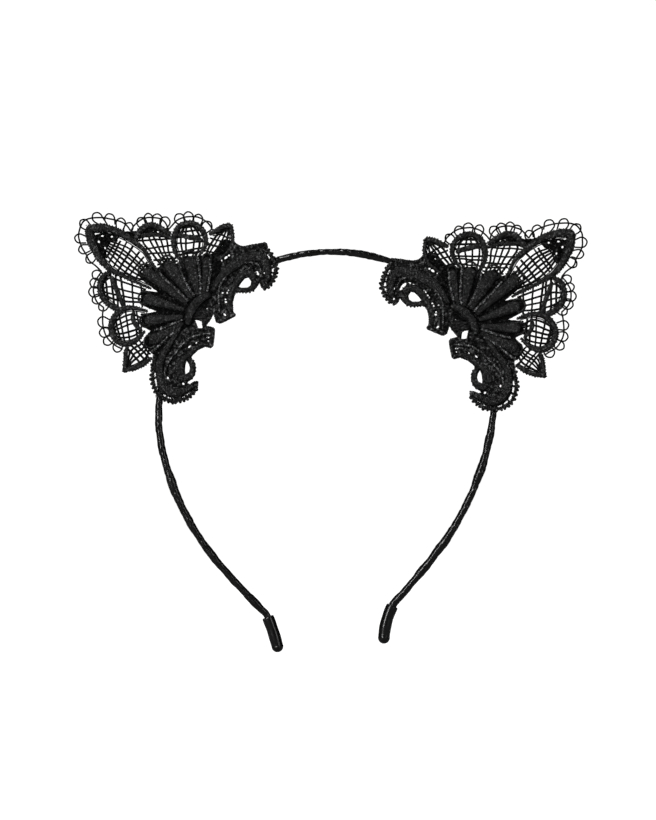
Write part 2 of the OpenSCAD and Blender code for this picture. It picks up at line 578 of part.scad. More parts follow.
scroll(RIGHT, SCROLL_UPPER);  // right_scroll_upper
scroll(RIGHT, SCROLL_LOWER);  // right_scroll_lower
scroll_ground(RIGHT);  // right_scroll_ground
beads(RIGHT, [BEADS_UPPER, TOP_EDGE]);  // right_beads_upper
beads(RIGHT, [BEADS_LOWER]);  // right_beads_lower
eyelet(RIGHT, EYELET_UPPER);  // right_eyelet_upper
eyelet(RIGHT, EYELET_LOWER);  // right_eyelet_lower
collar(RIGHT, COLLAR_UPPER, COLLAR_END_UPPER);  // right_collar_upper
collar(RIGHT, COLLAR_LOWER, COLLAR_END_LOWER);  // right_collar_lower
bud(RIGHT);  // right_bud
stitches(RIGHT);  // right_stitches
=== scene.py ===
import math

import bmesh
import bpy
import numpy as np
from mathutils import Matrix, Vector
from mathutils.geometry import delaunay_2d_cdt


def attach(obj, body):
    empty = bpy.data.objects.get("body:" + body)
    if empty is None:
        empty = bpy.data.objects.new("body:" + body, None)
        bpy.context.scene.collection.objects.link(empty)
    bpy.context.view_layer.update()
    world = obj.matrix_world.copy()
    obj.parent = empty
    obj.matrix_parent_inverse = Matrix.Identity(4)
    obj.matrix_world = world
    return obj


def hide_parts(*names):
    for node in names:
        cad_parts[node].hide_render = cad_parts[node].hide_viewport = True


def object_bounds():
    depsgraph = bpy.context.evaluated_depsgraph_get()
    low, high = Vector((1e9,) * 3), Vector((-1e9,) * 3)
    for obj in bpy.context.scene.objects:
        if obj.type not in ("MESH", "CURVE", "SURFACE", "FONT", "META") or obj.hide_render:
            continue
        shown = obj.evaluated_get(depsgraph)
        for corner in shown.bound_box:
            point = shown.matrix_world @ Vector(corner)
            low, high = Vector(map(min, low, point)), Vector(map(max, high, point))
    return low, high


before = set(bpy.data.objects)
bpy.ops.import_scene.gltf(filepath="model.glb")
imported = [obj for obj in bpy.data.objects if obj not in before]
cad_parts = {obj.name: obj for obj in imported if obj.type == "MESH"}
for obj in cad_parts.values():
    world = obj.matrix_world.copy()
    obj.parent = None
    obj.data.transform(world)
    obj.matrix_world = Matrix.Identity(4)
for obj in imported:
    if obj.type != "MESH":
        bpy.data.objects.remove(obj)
cad_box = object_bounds()
scene = bpy.context.scene
MM = 0.001

# Sizes in millimetres, as in the model. Depth is measured forward (towards -Y) from the band's centreline.
WRAP_R = 1.3
CAP_R = 2.4
GROUND_MID = 1.6
CORD_MID = 2.1
THREAD = 0.7
NET_THREAD = 0.86
TIE_THREAD = 0.34
TIE_ACROSS, TIE_DEEP, TIE_FORWARD = 1.75, 1.95, 0.35
TIE_TURNS = 4
CORD_STEP = 0.11
SATIN_HEIGHT = 1.9
PICOT_HEIGHT = 4.9
PICOT_WIDTH = 4.1
# Rows and sides of small meshes.
KNOT_RINGS, KNOT_SIDES = 5, 7
TIE_ROWS, TIE_SIDES = 40, 6
CAP_SIDES = 48
CROSS_ROWS = 14

# The band: its slope at the crown in degrees, then arcs of [radius, degrees] down each leg. A negative radius
# bends outwards. Each tip is the outward bend inside the cap, with its straight end in millimetres.
CROWN_TILT = 2.2
RIGHT_ARCS = [(74, 32), (56, 67), (112, 30), (260, 6), (-9, 16)]
LEFT_ARCS = [(74, 31), (64, 69), (104, 28), (260, 6), (-6, 24)]
RIGHT_TIP = (32, 22, 1)
LEFT_TIP = (90, 7.5, 0.6)
# The left ear is the right one mirrored: squeezed and turned about its pivot, and then shifted.
LEFT_PIVOT = np.array([54.0, -29.0])
LEFT_SHIFT = np.array([-5.3, 4.4])
LEFT_SQUEEZE = np.array([0.97, 1.01])
LEFT_TURN = math.radians(-3.7)

# The lace motif of the right ear: [across, up] or [across, up, width].
PETALS = [
    [[[46.5, -7.5, 0.9], [43.2, -4.8, 1.1], [40.6, -2, 1.3], [39.8, 2, 1.5], [40.5, 6.8, 1.7]],
     [[40, 6.6, 1.7], [43.4, 5.9, 2], [46, 4.7, 2], [49.5, 3.2, 1.6]]],
    [[[54.5, -5.2, 0.9], [52, -2.6, 1.3], [50.8, 0.8, 1.7], [51.5, 4.4, 1.9], [54, 7.2, 2.1],
      [57.8, 8.3, 2.2], [61.3, 7, 2.3], [63.6, 4, 2.3], [64.1, 0.5, 2.1], [63.6, -3, 1.6], [62, -6.5, 1],
      [60.8, -8.8, 0.8]]],
    [[[65, 4.2, 1.6], [67.5, 5.8, 2], [70.5, 7.7, 2.2], [73.5, 8.5, 2.4], [76.5, 7.4, 2.4],
      [78.8, 4.8, 2.3], [80.4, 2.6, 2]]],
    [[[71.5, -10.5, 0.9], [74, -6, 1.3], [76.3, -1.6, 1.7], [80, 1.8, 2.2], [84.5, 5.2, 2.7],
      [90, 7.9, 3], [95.5, 8.8, 3.4], [100, 8.4, 3]],
     [[98.9, 9.4, 3], [98.2, 4, 3.4], [96.2, -1, 3], [93.8, -5, 2.6], [90.5, -8.3, 2.2], [86, -10.9, 1.6],
      [80, -14, 1.2], [74.5, -16.8, 0.9]]],
    [[[91, -9, 1.8], [94.2, -10.8, 2.1], [95.6, -13.8, 2.2], [95.5, -17, 2.2], [94.2, -20, 2.3],
      [91.6, -22.4, 2.2], [89.8, -23.6, 2], [87.4, -24.4, 1.6]]],
    [[[76.5, -25.6, 0.9], [79.5, -24.6, 1.4], [83, -23.7, 1.9], [87, -24.2, 2.3], [90.3, -26.6, 2.4],
      [92, -30, 2.5], [91.8, -33.6, 2.4], [89.8, -36.6, 2.3], [86.4, -38, 2.2], [83, -37.2, 1.9],
      [80.6, -35.6, 1.5], [78.3, -33, 1]]],
    [[[76.2, -43.8, 1.2], [79.5, -46, 1.8], [83, -47.4, 2.1], [86, -47.9, 2], [88.4, -48.4, 1.7]],
     [[87.9, -49.3, 1.7], [87.2, -45, 1.9], [86.8, -41.5, 1.7], [85.8, -38.6, 1.4]]],
]
# A point inside each petal. The knots of a petal's cord stand on the side away from it.
PETAL_CENTRES = [[45, 0], [57.5, 0], [72, 0], [88, -2], [88, -16], [86, -31], [82, -42]]
PETAL_BARS = [
    [[52.3, 0.8, 1.6], [54.5, 2, 2.2], [58, 2.8, 2.2], [62.8, 4.2, 1.8]],
    [[64.8, 3, 1.5], [68, 4, 1.9], [72, 4.6, 2], [76, 4.6, 1.8], [78.5, 5, 1.4]],
    [[90.8, -10.5, 1.6], [89.9, -13.8, 1.9], [88.6, -17, 2], [87.6, -20, 1.8], [86.6, -23.4, 1.5]],
    [[82.4, -25.2, 1.4], [83, -28, 1.8], [81.8, -30.8, 1.8], [79.6, -33.2, 1.4]],
]
# Each net: its two edges, and the number of threads along them and across.
NETS = [
    ([[46, -6], [42.5, -3], [40.6, 0.5], [40.9, 5.5]], [[52.8, -4], [51, -0.5], [47.5, 3.6], [41.8, 6.2]],
     4, 5),
    ([[55, -5.5], [52, -2], [51, 3], [55, 7.6]], [[60.5, -6.5], [63.3, -3], [64, 3], [60, 7.7]], 4, 7),
    ([[62.5, -7.5], [64.2, -3], [64.6, 3], [70, 7.5]],
     [[70.8, -8.5], [74.5, -3.5], [79, 2.5], [76.5, 7.4]], 5, 7),
    ([[74, -9.5], [77, -3.5], [82.5, 1.8], [89.5, 4]],
     [[77.5, -14], [84, -11.8], [89.5, -7.6], [93.2, -2.2]], 6, 8),
    ([[76.8, -15.6], [86, -11.5], [91.5, -9.3], [95, -13]],
     [[77.2, -23.9], [85, -23.8], [91, -22.4], [95.2, -18.5]], 4, 7),
    ([[79.5, -26.5], [84, -24], [90, -26.5], [92, -31]],
     [[79.5, -34], [83, -37], [88, -37.3], [91.5, -34]], 5, 6),
    ([[80, -36.5], [83, -37.8], [86, -39.5], [86.8, -45]],
     [[76.5, -41.5], [77.5, -44.5], [80.5, -46.5], [86, -48]], 4, 5),
]
# Each rib of the fan: its foot, its bulb and its width.
RIBS = [
    ([53.2, -20], [51, -7], 3.2), ([55.6, -20.6], [57.8, -7], 5), ([58.2, -21.8], [66.4, -8.2], 5.2),
    ([60.4, -23.6], [75.8, -10.2], 4.6), ([61.6, -26], [76.2, -20.7], 4.6),
    ([62.2, -28.6], [76.4, -29.2], 4.4), ([62.2, -31.2], [75.2, -37], 4.4),
]
# Ribs with crossed stitches.
CROSSED_RIBS = (3, 4, 5)
# Bumpy cords that part the ribs, drawn in the bright line material as a painted highlight.
PARTINGS = [
    [[54.8, -5.5], [54.4, -10], [54.2, -15], [54.6, -20]],
    [[62.6, -7], [61.8, -11], [60.2, -15.5], [57, -21]],
    [[71, -10.5], [68.5, -13.5], [64.5, -17.5], [59.5, -22.6]],
    [[74.5, -33.2], [71, -32.6], [66.5, -31], [62.4, -29.8]],
    [[49.6, -6.5], [49.8, -11], [50.6, -15], [51.8, -19.6]],
    [[76.5, -42], [73, -39.5], [69, -36.2], [63.5, -32.8]],
]
GROUND = [
    [49.5, -20], [46, -14.5], [44.5, -8.5], [48.5, -4.3], [54, -5], [60, -4.6], [63.5, -7.5], [68, -5.4],
    [71, -8.5], [76, -7.5], [79, -12], [76.4, -14.6], [71.8, -18.3], [78.6, -16.9], [79.6, -22.6],
    [76.2, -24.4], [72.8, -25.9], [79.5, -26.4], [79.5, -31.5], [76, -33.2], [79, -36], [78, -40],
    [75.5, -43], [71.5, -41.5], [66.5, -35.8], [60, -32.6], [57, -30], [52, -25.5],
]
FAN_BASE = [[50.3, -20.3, 2.2], [54.3, -21.8, 3.2], [57.8, -25, 3.6], [59.8, -28.5, 3.2], [60.5, -32, 2]]
BUD = [
    [49.6, -28.2], [51.5, -26.4], [54, -25.6], [57.4, -28], [57.6, -30.2], [55.8, -30.4], [54.8, -31],
    [54.6, -33.6], [53, -32.8], [51, -30.4],
]
BUD_CORDS = [([50.4, -28], [57, -27.4]), ([51.6, -30.2], [57.2, -29.4]), ([53.6, -32.8], [54.6, -30.6])]
SCROLL_UPPER = [
    [49.5, -19.5, 1.6], [47, -15.5, 2.6], [43.5, -12, 3.6], [39, -9, 4.2], [34.5, -6.9, 4.2],
    [30.5, -6.6, 4], [27.6, -8.2, 3.6], [26.4, -11.3, 3], [26.4, -14.5, 2.4], [27.2, -17.2, 1.6],
]
SCROLL_LOWER = [
    [64, -33, 1.6], [68, -38.5, 2.2], [71.5, -43, 2.8], [73.3, -47.5, 3.2], [73.2, -52, 3.4],
    [71.6, -56, 3.6], [68.3, -58.4, 3.6], [64.8, -58.1, 3], [61.8, -56.8, 2.4], [59.6, -56, 2.2],
]
# Stitched ground of the scrolls, and its small openings: [across, up, length, width, slope in degrees].
SCROLL_GROUND = [
    [[26.3, -1.4], [29, -1.8], [32, -2.1], [35, -2.5], [37.2, -2.3], [38.8, -0.9], [39.8, 0.4],
     [41, -2.6], [43.8, -5.4], [48.5, -4.3], [44.5, -8.5], [46, -14.5], [49.5, -20], [52, -25.5],
     [51, -27], [49.4, -28.6], [48.6, -31.4], [47.3, -32], [44, -30.8], [41.2, -29.2], [41.8, -27.5],
     [41.7, -24], [41, -21.8], [39.8, -20], [37.8, -20.2], [35.3, -20.4], [32.6, -19.7], [31, -18.2],
     [29.8, -16.6], [29.2, -18.7], [28.2, -19.6], [26.6, -18.8], [25.4, -17], [25, -14.5], [24.7, -11.5],
     [25.1, -8.8], [26.5, -6.2], [26.6, -4.8], [25.8, -3.4]],
    [[49.9, -33.9], [53, -33], [54.5, -33.9], [56.8, -33.7], [57.6, -30.6], [60, -32.6], [66.5, -35.8],
     [71.5, -41.5], [75.5, -43], [76, -46.2], [74.9, -48.5], [74.8, -52], [74.5, -55], [72.8, -58],
     [70.2, -59.8], [67.4, -60.8], [65, -60.2], [62.6, -58.9], [60.3, -57.6], [58.4, -57.4],
     [58.1, -54.6], [59.6, -54.7], [61.3, -55.6], [62.8, -55.2], [62.3, -54.2], [60.6, -53.3],
     [59.3, -52], [58.7, -49.8], [58.9, -47.3], [60.4, -45], [59.8, -44], [57.3, -42], [54, -40.7],
     [51.6, -41.5], [50.7, -39], [50, -36]],
]
SLITS = [
    [[31.2, -12.6, 3.9, 1.3, 49], [35.5, -12, 4.8, 0.8, -28], [40, -14.6, 1.6, 0.7, -45],
     [41.1, -16.4, 2.2, 0.8, -50], [43.2, -19.9, 2.5, 0.8, -60], [45.4, -20.2, 0.8, 0.7, 0],
     [44.3, -23.6, 2.4, 0.9, 80], [45.1, -28.8, 1.4, 0.7, 45], [41.8, -5.5, 0.9, 0.7, 0],
     [43.1, -6.3, 1.6, 0.9, -35], [45.2, -7.2, 1.2, 1, 60], [27.5, -13.4, 0.9, 0.8, 0],
     [27.5, -17.5, 0.8, 0.8, 0]],
    [[66.5, -36.6, 1.6, 0.6, -40], [70, -40.6, 1.4, 0.8, -40], [72.9, -43.3, 1, 0.8, 0],
     [52.7, -37.4, 1.3, 0.5, 0], [52.8, -38.8, 1, 0.5, 0], [57.3, -39.1, 1.3, 0.6, -30],
     [60.5, -40.6, 1.4, 0.6, -40], [70.2, -52.4, 1, 0.7, 80], [64, -55.1, 1, 0.8, 40],
     [64.4, -57.1, 1.1, 0.7, -30], [60.6, -55.9, 1.1, 0.5, -35]],
]
EYELET_HOLES = [
    [[34.4, -14.8], [33.4, -16.3], [33.7, -17.8], [35, -18.6], [37.5, -18.6], [38.5, -18.1],
     [37.3, -16.5], [35.8, -15.1]],
    [[62, -46.2], [61.2, -47.5], [60.9, -49], [61.3, -50.5], [62.8, -51.3], [62.9, -49.9], [62.6, -47.7]],
]
EYELET_UPPER = [
    [[42.6, -28, 2], [42.6, -23, 2.2], [41, -19.2, 2.4], [38.9, -15.7, 2.6], [36.2, -13.4, 2.6],
     [33.2, -13.4, 2.8], [31.7, -15.6, 3]],
    [[31.6, -16.2, 3], [32.4, -18.4, 2.4], [34.6, -19.6, 2], [37.5, -19.5, 1.8], [40.6, -19.4, 1.6]],
]
EYELET_LOWER = [
    [[52.2, -40.1, 1.6], [55, -40, 1.6], [58, -41.5, 1.8], [60.9, -43.9, 1.8], [63.8, -45.6, 2.6],
     [65, -48.8, 3.8], [65, -51.6, 3.6]],
    [[65, -52, 3], [62.8, -52.8, 2.6], [60.7, -51.8, 2.4], [59.8, -49.4, 2.2], [60, -46.8, 1.8],
     [61.3, -45, 1.3]],
]
# The two sides of each collar, and the thick cord over its end.
COLLAR_UPPER = (
    [[41, -19], [41.8, -22], [42.2, -25], [41.6, -29]],
    [[46, -17.5], [47, -21], [47.4, -25], [47.4, -31.4]],
)
COLLAR_LOWER = (
    [[62, -44], [58.5, -41.7], [55.5, -40.4], [51.6, -40.9]],
    [[63.5, -39.5], [59.5, -36.9], [55, -35.3], [50.5, -34.2]],
)
COLLAR_END_UPPER = [[40.6, -28.8, 1.8], [44, -30.2, 1.8], [47.6, -31.7, 1.8]]
COLLAR_END_LOWER = [[50.3, -33.6, 1.8], [50.7, -37, 1.8], [51.6, -41.4, 1.8]]
# A line of stitches along each scroll, made bright with a painted highlight: its material is a lighter copy
# of the cord's.
LINE_UPPER = [
    [47.2, -28, 0.9], [47, -20, 0.9], [45.5, -16, 1], [42, -12, 1], [38.5, -9.6, 1], [34, -8.8, 1],
    [30.5, -9.8, 1], [29, -12.5, 0.8],
]
LINE_LOWER = [
    [51, -36, 0.9], [55, -36, 0.9], [59, -36.8, 1], [63, -39.3, 1], [66.5, -42.8, 1], [69.8, -46.5, 1],
    [71.2, -50.5, 1], [70.6, -54.5, 0.9],
]
# Edge cords with nubs: clear of the scroll on a few bridges, and straight on the ground along the top.
BEADS_UPPER = [
    [25.9, -4.2], [24.7, -5.9], [23.7, -7.8], [23, -10], [22.6, -12.1], [23.2, -14.4], [24, -16.2],
    [25.1, -17.6], [26.9, -19.1], [28.2, -19.4],
]
TOP_EDGE = [[26.4, -1.7], [29, -2], [32, -2.4], [35, -2.7], [37.2, -2.4], [38.6, -1.3]]
BEADS_LOWER = [
    [76, -46.2], [75.9, -48.4], [76.6, -50.3], [76.7, -52], [76.6, -53.9], [76.1, -55.7], [75.2, -58],
    [73.3, -60.1], [71.2, -61.2], [69.2, -61.9], [66.8, -61.8], [64.4, -61.5], [62.4, -60.6],
    [60.7, -59.4], [59.4, -58.2], [58.7, -56.6],
]
# The thread that the picots hang on, and the picots: a centre that they point away from, and their tips.
EDGE_THREADS = [
    [[47.6, 4.6], [48.9, 7], [51, 9], [54, 10.5], [58, 10.9], [61.5, 10.2], [64.2, 8.2], [66, 6.2]],
    [[66, 6.2], [67, 9], [69, 10.8], [72, 11.4], [75, 11.3], [78.5, 10], [81.6, 6.8]],
    [[81.6, 6.8], [83.4, 9.2], [87, 11.2], [91, 12.3], [96, 12.8], [100.4, 12], [102.6, 9], [103.1, 5.5],
     [102.3, 2], [100.5, -1.5], [99.6, -4], [97, -6.2], [94.6, -8.6]],
    [[94.6, -8.6], [96.8, -11], [98.2, -14], [98.4, -17.4], [97.2, -20.6], [94.6, -23]],
    [[94.6, -23], [95.4, -26], [95.6, -30], [94.6, -34], [92, -37.4], [88, -39.8]],
]
PICOTS = [
    ([57, 0], [[48.5, 8], [53, 11.5], [57.6, 12.8], [62.3, 12]]),
    ([72, 2], [[66.4, 11.2], [70, 12.7], [74.1, 13.2], [78, 11.5]]),
    ([86, 0], [[81.2, 9.8], [85, 12], [90.5, 14], [96.5, 14.4]]),
    ([92, 2], [[102, 12], [104.8, 5.5], [103.5, 0.3], [100.5, -4.5]]),
    ([88, -16], [[98.4, -8.8], [99.7, -12.5], [100.5, -16.4], [99.2, -20.2], [96.6, -23.5]]),
    ([86, -31], [[97.5, -27.9], [97.2, -32.9], [95.5, -37.3], [90.8, -40.8]]),
]
# Patches stitched solid inside the petals: in the tip, over the third petal's bar, between those two, and
# the leaf in the first petal.
PATCHES = [
    [[86, 5.2], [87.6, 3], [90, 2.8], [91.4, 1], [92.3, -1.4], [92.2, -3.4], [94.6, -3.4], [96.4, 1.6],
     [96.8, 6], [92, 6.8]],
    [[64.6, 2.4], [66, 5], [70, 7.6], [74, 8.2], [78, 6.2], [80, 3], [76.5, 3.7], [72, 4], [68, 3.2]],
    [[79.2, 6.4], [84.2, 6.6], [84.8, 3.6], [80, 2]],
    [[40.3, 0.2], [42.5, 1], [45.2, 0.4], [46, -1.8], [47.4, -3.8], [49.4, -5], [44, -5.6], [42, -4],
     [40.5, -2]],
]
PATCH_SLITS = [
    [89.5, 4.9, 0.9, 0.7, 0], [93.4, 5.4, 1.1, 0.7, 0], [95, 3.2, 1, 0.8, 60], [72.4, 6.3, 1.1, 0.8, 30],
    [70.4, 5.6, 1.2, 0.7, -20], [44, -1.6, 0.7, 0.6, 0], [92.6, 0.6, 0.9, 0.6, 70],
]
# Where the ribbon bunches up on the legs: [height in the frame, reach along the band, extra radius].
RIGHT_BUNCHES = [
    (-74, 3, 0.16), (-86, 4, 0.42), (-98, 3, 0.14), (-116, 4.5, 0.34), (-126, 3, 0.28), (-138, 4, 0.2),
]
LEFT_BUNCHES = [
    (-66, 3, 0.2), (-76, 3, 0.14), (-92, 5, 0.34), (-106, 3, 0.12), (-120, 4, 0.18), (-138, 4, 0.24),
]
# The same near the crown, with the length from the crown in place of the height.
CROWN_FOLDS = [(15, 4.0, 0.3), (21, 2.4, 0.24), (-20.5, 3.0, 0.24)]
# The winding: length of one turn, height of its edge, and how far apart its drift is drawn.
TURN_LENGTH = 8.5
EDGE_HEIGHT = 0.16
DRIFT_STEP = 4.0
# Lengths from the crown at which an ear is tied to the band.
STITCHES_AT = [31, 44, 57, 70, 83, 95]
RIBBON_SEED = 11
SEEDS = {"left": 8, "right": 3}


# ---- curves

def placed(side, points):
    """Points of the right ear, carried to the asked side."""
    p = np.array([q[:2] for q in points], float)
    if side == "right":
        return p
    d = (p - LEFT_PIVOT) * LEFT_SQUEEZE
    c, s = math.cos(LEFT_TURN), math.sin(LEFT_TURN)
    q = np.stack([d[:, 0] * c - d[:, 1] * s, d[:, 0] * s + d[:, 1] * c], 1) + LEFT_PIVOT + LEFT_SHIFT
    return q * [-1, 1]


def smooth(p, steps=8):
    """A curve through every row of p."""
    p = np.asarray(p, float)
    ext = np.vstack([2 * p[0] - p[1], p, 2 * p[-1] - p[-2]])
    out = []
    for i in range(1, len(ext) - 2):
        a, b, c, d = ext[i - 1:i + 3]
        for t in np.arange(steps) / steps:
            out.append(0.5 * (2 * b + (c - a) * t + (2 * a - 5 * b + 4 * c - d) * t * t
                              + (3 * b - a - 3 * c + d) * t ** 3))
    out.append(ext[-2])
    return np.array(out)


def even(c, step):
    """The same curve with its rows an even step apart."""
    d = lengths(c)
    n = max(3, int(round(d[-1] / step)) + 1)
    s = np.linspace(0, d[-1], n)
    return np.stack([np.interp(s, d, c[:, k]) for k in range(c.shape[1])], 1)


def stroke(side, points, step):
    """An even curve with the width in its third column."""
    width = [q[2] if len(q) > 2 else THREAD for q in points]
    return even(smooth(np.c_[placed(side, points), width]), step)


def unit(v):
    """The direction of a vector."""
    return v / np.linalg.norm(v)


def normals(c):
    """The direction square to the curve at every row."""
    t = np.gradient(c[:, :2], axis=0)
    t /= np.linalg.norm(t, axis=1)[:, None] + 1e-12
    return np.stack([-t[:, 1], t[:, 0]], 1)


def away(c, centre):
    """The normals of a curve, turned to point away from a centre."""
    nrm = normals(c)
    return np.sign(np.sum(nrm * (c[:, :2] - centre), axis=1))[:, None] * nrm


def lengths(c):
    """Length along the curve at every row."""
    return np.r_[0, np.cumsum(np.linalg.norm(np.diff(c[:, :2], axis=0), axis=1))]


def around(n):
    """Angles evenly round a circle."""
    return np.arange(n) * 2 * math.pi / n


def wobble(rng, n, reach, smoothness):
    """Smooth random drift of n values, with the given reach and correlation length in rows."""
    k = max(2, int(n / smoothness) + 3)
    return np.interp(np.linspace(0, k - 1, n), np.arange(k), rng.uniform(-reach, reach, k))


def sway(c, rng, reach, smoothness):
    """The curve with a smooth random drift to its sides."""
    moved = c.copy()
    moved[:, :2] += normals(c) * wobble(rng, len(c), reach, smoothness)[:, None]
    return moved


def inside(points, outline):
    """Which of the points are inside a closed outline."""
    x, z = points[:, 0], points[:, 1]
    hit = np.zeros(len(points), bool)
    for a, b in zip(outline, np.roll(outline, -1, axis=0)):
        crosses = (a[1] > z) != (b[1] > z)
        hit ^= crosses & (x < (b[0] - a[0]) * (z - a[1]) / (b[1] - a[1] + 1e-12) + a[0])
    return hit


# ---- mesh building

class Stitchery:
    """Gathers swept threads, knots and plates into one mesh."""

    def __init__(self):
        self.verts = []
        self.faces = []
        self.uvs = []
        self.count = 0

    def grid(self, points, u, caps=True):
        """A tube: each row of points goes once round it, and u is the length along it."""
        n, m = points.shape[:2]
        v = np.linspace(0, 1, m + 1)
        base = self.count
        self.verts.append(points.reshape(-1, 3))
        self.count += n * m
        for j in range(m):
            k = (j + 1) % m
            i = np.arange(n - 1)
            quad = np.stack([i * m + j, i * m + k, (i + 1) * m + k, (i + 1) * m + j], 1) + base
            uv = np.empty((n - 1, 4, 2))
            uv[:, :2, 0] = u[:-1, None]
            uv[:, 2:, 0] = u[1:, None]
            uv[:, :, 1] = v[[j, j + 1, j + 1, j]]
            self.faces.extend(quad.tolist())
            self.uvs.append(uv.reshape(-1, 2))
        if caps:
            for ring, at in ((0, 0), (n - 1, -1)):
                face = [base + ring * m + j for j in range(m)]
                self.faces.append(face if ring else face[::-1])
                self.uvs.append(np.tile([u[at], 0.5], (m, 1)))

    def sweep(self, c, width, height, depth, sides=8, ridge=0.0, pitch=0.35, slant=0.8, square=1.0,
              round_ends=True, profile=None):
        """A cord along c. Its section is width by height, and its middle lies depth forward of the band."""
        n = len(c)
        width, height, depth = (np.broadcast_to(np.asarray(a, float), n) for a in (width, height, depth))
        s = lengths(c)
        nrm = normals(c)
        shrink = np.ones(n)
        if round_ends:
            k = np.clip(np.minimum(s, s[-1] - s) / (width / 2 + 1e-6), 0, 1)
            shrink = np.clip(np.sqrt(1 - (1 - k) ** 2), 0.2, 1)
        theta = around(sides)
        cx, sy = np.cos(theta), np.sin(theta)
        cx = np.sign(cx) * np.abs(cx) ** square
        sy = np.sign(sy) * np.abs(sy) ** square
        grow = np.zeros((n, sides))
        if ridge:
            wave = 2 * math.pi * (s[:, None] / pitch + slant * cx[None, :])
            grow = ridge * (0.5 - 0.5 * np.cos(wave)) - ridge / 2
        if profile is not None:
            grow = grow + profile(s[:, None], theta[None, :])
        across = ((width / 2)[:, None] + grow) * shrink[:, None]
        deep = ((height / 2)[:, None] + grow) * shrink[:, None]
        pts = np.empty((n, sides, 3))
        pts[:, :, 0] = c[:, 0, None] + nrm[:, 0, None] * across * cx
        pts[:, :, 2] = c[:, 1, None] + nrm[:, 1, None] * across * cx
        pts[:, :, 1] = -depth[:, None] - deep * sy
        self.grid(pts, s)

    def ring(self, centre, along, half_across, half_deep, depth, thread):
        """A closed thread round the band: centre and along are in the plane of the lace."""
        nrm = np.array([-along[1], along[0]])
        phi = np.linspace(0, 2 * math.pi, TIE_ROWS + 1)
        rho = around(TIE_SIDES)
        r = thread / 2
        a = np.cos(phi)[:, None] * (half_across + r * np.cos(rho)[None, :])
        d = np.sin(phi)[:, None] * (half_deep + r * np.cos(rho)[None, :])
        off = np.broadcast_to(r * np.sin(rho)[None, :], a.shape)
        pts = np.stack([centre[0] + nrm[0] * a + along[0] * off, -(depth + d),
                        centre[1] + nrm[1] * a + along[1] * off], 2)
        self.grid(pts, phi * half_deep, caps=False)

    def knot(self, at, depth, r, flat=1.0):
        """A small round stitch with radius r. Its depth is r times flat on each side of its middle."""
        lat = np.linspace(-math.pi / 2 * 0.86, math.pi / 2 * 0.86, KNOT_RINGS)
        lon = around(KNOT_SIDES)
        pts = np.empty((KNOT_RINGS, KNOT_SIDES, 3))
        pts[:, :, 0] = at[0] + r * np.cos(lat)[:, None] * np.cos(lon)
        pts[:, :, 2] = at[1] + r * np.cos(lat)[:, None] * np.sin(lon)
        pts[:, :, 1] = -depth - (r * flat * np.sin(lat))[:, None]
        self.grid(pts, lat * r)

    def plate(self, outline, back, front, holes=()):
        """A flat plate with a closed outline, and openings right through it."""
        loops = [outline, *holes]
        starts = np.cumsum([0] + [len(loop) for loop in loops])
        edges = [(first + i, first + (i + 1) % len(loop))
                 for first, loop in zip(starts, loops) for i in range(len(loop))]
        found = delaunay_2d_cdt([Vector(p) for p in np.vstack(loops).tolist()], edges, [], 0, 1e-6)
        flat = np.array([v[:] for v in found[0]])
        triangles = np.array([f for f in found[2] if len(f) == 3])
        middles = flat[triangles].mean(axis=1)
        keep = inside(middles, outline)
        for hole in holes:
            keep &= ~inside(middles, hole)
        triangles = triangles[keep]
        n, base = len(flat), self.count
        for depth in (back, front):
            self.verts.append(np.stack([flat[:, 0], np.full(n, -depth), flat[:, 1]], 1))
        self.count += 2 * n
        rims = {}
        for a, b, c in triangles.tolist():
            self.faces += [[base + a, base + b, base + c], [base + n + c, base + n + b, base + n + a]]
            self.uvs += [flat[[a, b, c]], flat[[c, b, a]]]
            for edge in ((a, b), (b, c), (c, a)):
                key = tuple(sorted(edge))
                rims[key] = None if key in rims else edge
        for a, b in filter(None, rims.values()):
            self.faces.append([base + b, base + a, base + n + a, base + n + b])
            self.uvs.append(flat[[b, a, a, b]])

    def piece(self, name, material, slot, *nodes):
        """Everything gathered so far as one object, in place of the named nodes."""
        verts = np.vstack(self.verts) * MM
        mesh = bpy.data.meshes.new(name)
        mesh.from_pydata(verts.tolist(), [], self.faces)
        layer = mesh.uv_layers.new(name="Thread")
        layer.data.foreach_set("uv", np.vstack(self.uvs).astype(np.float32).ravel())
        bm = bmesh.new()
        bm.from_mesh(mesh)
        bmesh.ops.recalc_face_normals(bm, faces=bm.faces)
        bm.to_mesh(mesh)
        bm.free()
        mesh.shade_smooth()
        mesh.set_sharp_from_angle(angle=math.radians(80))
        mesh.materials.append(material)
        obj = bpy.data.objects.new(name, mesh)
        scene.collection.objects.link(obj)
        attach(obj, "root")
        if nodes:
            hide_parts(*nodes)


# ---- materials

